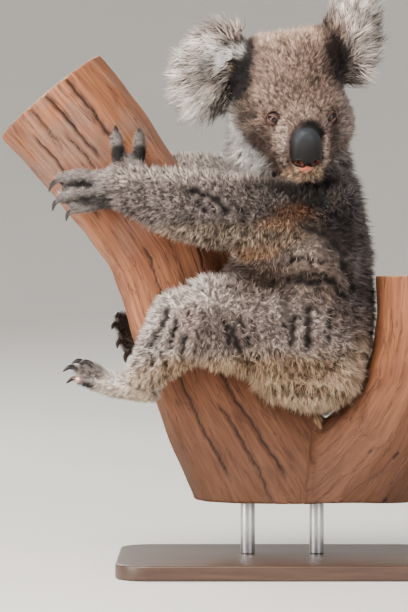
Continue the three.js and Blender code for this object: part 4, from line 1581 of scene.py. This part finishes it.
@dataclass
class Perch:
    """The cut length of tree: a sloping limb and the stem of its fork."""

    limb: tuple = ((-249, 5, 521), (-219, 5, 485), (-188, 5, 445), (-156, 5, 402), (-121, 5, 350),
                   (-98, 5, 285), (-72, 5, 213), (-30, 5, 142), (6, 5, 76), (18, 5, 48))
    stem: tuple = ((158, -22, 322), (158, -22, 262), (148, -18, 202), (118, -8, 142), (76, 0, 92),
                   (44, 5, 60))
    voxel: float = 2.3 * MM
    fade: float = 18.0
    cracks: tuple = (
        Crack(-10, 112, -24, 2.4, 4.5),
        Crack(-10, 100, 2, 2.2, 4.5),
        Crack(40, 108, 14, 1.4, 2.4),
        Crack(-5, 60, 26, 1.5, 2.6),
        Crack(20, 150, 42, 1.8, 3.4),
        Crack(150, 300, -34, 1.3, 1.8),
        Crack(190, 330, 20, 1.3, 2.0),
        Crack(300, 470, 34, 1.6, 2.6),
        Crack(330, 500, -12, 1.8, 3.0),
        Crack(380, 520, 8, 1.5, 2.4),
        Crack(120, 420, 150, 2.4, 3.5),
        Crack(0, 300, 200, 2.2, 3.5),
        Crack(100, 480, 250, 2.2, 3.0),
    )

    def build(self) -> bpy.types.Object:
        """Makes the wood in place of both of its nodes."""
        piece = piece_of("perch_wood", merged_copy(("perch_limb", "perch_stem"), 0.4 * MM))
        modified(piece, "REMESH", mode="VOXEL", voxel_size=self.voxel)
        modified(piece, "SMOOTH", factor=0.5, iterations=6)
        settle(piece)
        mesh = piece.data
        points, normals = numbers(mesh.vertices, "co"), numbers(mesh.vertices, "normal")
        limb, stem = self._grain(points, self.limb), self._grain(points, self.stem)
        on_stem = stem[3] < limb[3]
        grain = np.where(on_stem[:, None], stem[0] + 0.5, limb[0])
        run, angle = (np.where(on_stem, s, l) for s, l in ((stem[1], limb[1]), (stem[2], limb[2])))
        ways = np.where(on_stem[:, None], stem[4], limb[4])
        sawn = ease((np.abs(np.sum(normals * ways, 1)) - 0.75) / 0.15)
        radius = np.linalg.norm(grain[:, :2] - np.where(on_stem, 0.5, 0)[:, None], axis=1)
        moved, dark = self._cracked(run, angle, radius, on_stem)
        swells = np.sin(run / 23 + angle / 40) * 0.7 + np.sin(run / 9 - angle / 17) * 0.35
        moved += swells * MM * (1 - sawn)
        points = points + normals * (moved * (1 - sawn))[:, None]
        mesh.vertices.foreach_set("co", points.ravel())
        mesh.update()
        mesh.shade_smooth()
        store(mesh, "grain", "FLOAT_VECTOR", grain)
        store(mesh, "sawn", "FLOAT", sawn)
        store(mesh, "crack", "FLOAT", dark)
        store(mesh, "weather", "FLOAT", ease((230 - run) / 120) * ~on_stem)
        # painted shade: the wood is darkened towards the bottom
        low = ease((290 * MM - points[:, 2]) / (190 * MM))
        store(mesh, "shade", "FLOAT", low * 0.85)
        dress(piece, WoodFinish().material(), "bark", "perch_limb", "perch_stem")
        return piece

    def _cracked(self, run: np.ndarray, angle: np.ndarray, radius: np.ndarray,
                 on_stem: np.ndarray) -> tuple[np.ndarray, np.ndarray]:
        """How far the limb's cracks move the wood, in metres, and how dark they make it."""
        moved = np.zeros(len(run))
        dark = np.zeros(len(run))
        for index, crack in enumerate(self.cracks):
            bends = (np.sin(run / 31 + index) + 0.5 * np.sin(run / 9 + index)
                     + 0.3 * np.sin(run / 2.7))
            line = crack.angle + crack.wander * bends
            off = (angle - line + 180) % 360 - 180
            away = np.radians(off) * radius / MM / crack.width
            ends = ease((run - crack.start) / self.fade) * ease((crack.end - run) / self.fade)
            mark = np.exp(-away**2) * ends * ~on_stem
            moved -= mark * crack.depth * MM
            dark = np.maximum(dark, mark)
        return moved, dark

    def _grain(self, points: np.ndarray, stations: Sequence[tuple]) -> tuple:
        """Places points in the unrolled frame of a branch.

        Args:
            points: where to look.
            stations: the branch's axis in millimetres.

        Returns:
            Each point's grain place, run along the axis, angle, distance and axis direction.
        """
        axis = np.array(stations, float) * MM
        fine = np.linspace(0, len(axis) - 1, 120)
        axis = np.stack([np.interp(fine, np.arange(len(axis)), c) for c in axis.T], 1)
        ways = unit(np.gradient(axis, axis=0))
        runs = np.concatenate(([0], np.cumsum(np.linalg.norm(np.diff(axis, axis=0), axis=1))))
        near = nearest_of(axis, points)
        way = ways[near]
        off = points - axis[near]
        ahead = np.sum(off * way, 1)
        off = off - way * ahead[:, None]
        ahead_of = np.array((0, -1.0, 0))
        front = unit(ahead_of - way * (way @ ahead_of)[:, None])
        side = np.cross(way, front)
        x, y = np.sum(off * front, 1), np.sum(off * side, 1)
        run = runs[near] + ahead
        return (np.stack((x, y, run), 1), run / MM, np.degrees(np.arctan2(y, x)),
                np.linalg.norm(off, axis=1), way)


@dataclass
class Stand:
    """A flat board with rounded corners and two steel rods."""

    corner: float = 38 * MM
    edge: float = 2.5 * MM
    rod_edge: float = 0.8 * MM

    def build(self) -> None:
        """Makes the board and the rods."""
        low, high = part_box("stand_base")
        board = bmesh.new()
        bmesh.ops.create_cube(board, size=1.0)
        bmesh.ops.scale(board, vec=high - low, verts=board.verts)
        bmesh.ops.translate(board, vec=(high + low) / 2, verts=board.verts)
        upright = [edge for edge in board.edges if not self._level(edge)]
        self._round(board, upright, self.corner, 14)
        rims = [edge for edge in board.edges if self._level(edge) and len(edge.link_faces) == 2
                and sum(abs(face.normal.z) for face in edge.link_faces) < 1.5]
        self._round(board, rims, self.edge, 4)
        piece = piece_of("stand_board", board)
        dress(piece, BoardFinish().material(), "stand_board", "stand_base")
        material = RodFinish().material()
        for name in ("stand_rod_1", "stand_rod_2"):
            low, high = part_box(name)
            centre, radius = (low + high) / 2, (high.x - low.x) / 2
            rod = bmesh.new()
            bmesh.ops.create_cone(rod, cap_ends=True, segments=48, radius1=radius, radius2=radius,
                                  depth=high.z - low.z)
            bmesh.ops.translate(rod, vec=centre, verts=rod.verts)
            ends = [edge for edge in rod.edges if self._level(edge)]
            self._round(rod, ends, self.rod_edge, 3)
            dress(piece_of(name + "_steel", rod), material, "stand_rod", name)

    def _level(self, edge: bmesh.types.BMEdge) -> bool:
        """Whether an edge runs level."""
        return abs(edge.verts[0].co.z - edge.verts[1].co.z) < 1e-6

    def _round(self, shape: bmesh.types.BMesh, edges: list, radius: float, segments: int) -> None:
        """Rounds some edges."""
        bmesh.ops.bevel(shape, geom=edges, offset=radius, segments=segments, profile=0.5,
                        affect="EDGES", material=-1)


# ---------------------------------------------------------------- the studio


@dataclass(frozen=True)
class Lamp:
    """One soft lamp that looks at the middle of the model."""

    name: str
    at: tuple
    size: float
    power: float
    tint: tuple = (255, 255, 255)

    def build(self, target: Vector) -> None:
        """Hangs the lamp."""
        light = bpy.data.lights.new(self.name, "AREA")
        light.shape = "DISK"
        light.size = self.size
        light.energy = self.power
        light.color = tuple(linear(self.tint))
        lamp = linked(self.name, light)
        lamp.location = self.at
        lamp.rotation_euler = (target - Vector(self.at)).to_track_quat("-Z", "Y").to_euler()


@dataclass
class Studio:
    """A pale floor, soft lamps, and the camera."""

    target: Vector = field(default_factory=lambda: Vector((-0.05, 0, 0.33)))
    lens: float = 160.4
    eye: tuple = (-0.0803, -3.0, 0.2894)
    flat: float = 2.0
    rise: float = 6.0
    below: float = 0.0005
    sky: tuple = (0.86, 0.88, 0.9, 1)
    sky_power: float = 0.45
    lamps: tuple = (
        Lamp("key", (-1.2, -1.9, 2.8), 1.5, 212, (255, 246, 236)),
        Lamp("fill", (1.7, -2.2, 0.8), 1.8, 42, (250, 250, 255)),
        Lamp("side", (-2.3, -1.3, 0.9), 1.6, 84, (255, 250, 246)),
        Lamp("back", (-1.2, 2.4, 1.8), 1.6, 60, (255, 252, 248)),
    )

    def build(self) -> None:
        """Lays the floor, hangs the lamps and sets the camera."""
        sweep = bmesh.new()
        bend = [(self.flat + self.rise * math.sin(a), 0, self.rise * (1 - math.cos(a)))
                for a in np.linspace(0, math.pi / 2, 13)]
        places = [(0, 0, 0), *bend, (self.flat + self.rise, 0, 1.5 * self.rise)]
        verts = [sweep.verts.new((x, y, z - self.below)) for x, y, z in places]
        edges = [sweep.edges.new(pair) for pair in zip(verts, verts[1:])]
        bmesh.ops.spin(sweep, geom=verts + edges, cent=(0, 0, 0), axis=(0, 0, 1),
                       angle=2 * math.pi, steps=96, use_merge=True)
        bmesh.ops.remove_doubles(sweep, verts=sweep.verts, dist=1e-5)
        bmesh.ops.recalc_face_normals(sweep, faces=sweep.faces)
        bmesh.ops.reverse_faces(sweep, faces=sweep.faces)
        floor = piece_of("floor", sweep)
        floor.data.materials.append(FloorFinish().material())
        for lamp in self.lamps:
            lamp.build(self.target)
        world = bpy.data.worlds.new("studio")
        world.use_nodes = True
        sky = world.node_tree.nodes["Background"]
        sky.inputs[0].default_value = self.sky
        sky.inputs[1].default_value = self.sky_power
        bpy.context.scene.world = world
        camera = bpy.data.cameras.new("camera")
        camera.sensor_fit = "VERTICAL"
        camera.sensor_height = 36
        camera.lens = self.lens
        view = linked("camera", camera)
        view.location = self.eye
        view.rotation_euler = (math.pi / 2, 0, 0)
        bpy.context.scene.camera = view


def search_tree(piece: bpy.types.Object) -> BVHTree:
    """A search tree of a piece's surface."""
    places = numbers(piece.data.vertices, "co")
    return BVHTree.FromPolygons(places.tolist(), triangles(piece.data).tolist())


def main() -> None:
    """Builds every part of the model in order."""
    logging.basicConfig(level=logging.INFO, format="%(name)s %(message)s")
    Studio().build()
    wood = Perch().build()
    Stand().build()
    skin = Skin()
    skin.build()
    Coat(skin, search_tree(wood)).build()
    for node in EYES:
        Eye(node).build()
    Nose().build()
    Claws().build()


if __name__ == "__main__":
    main()
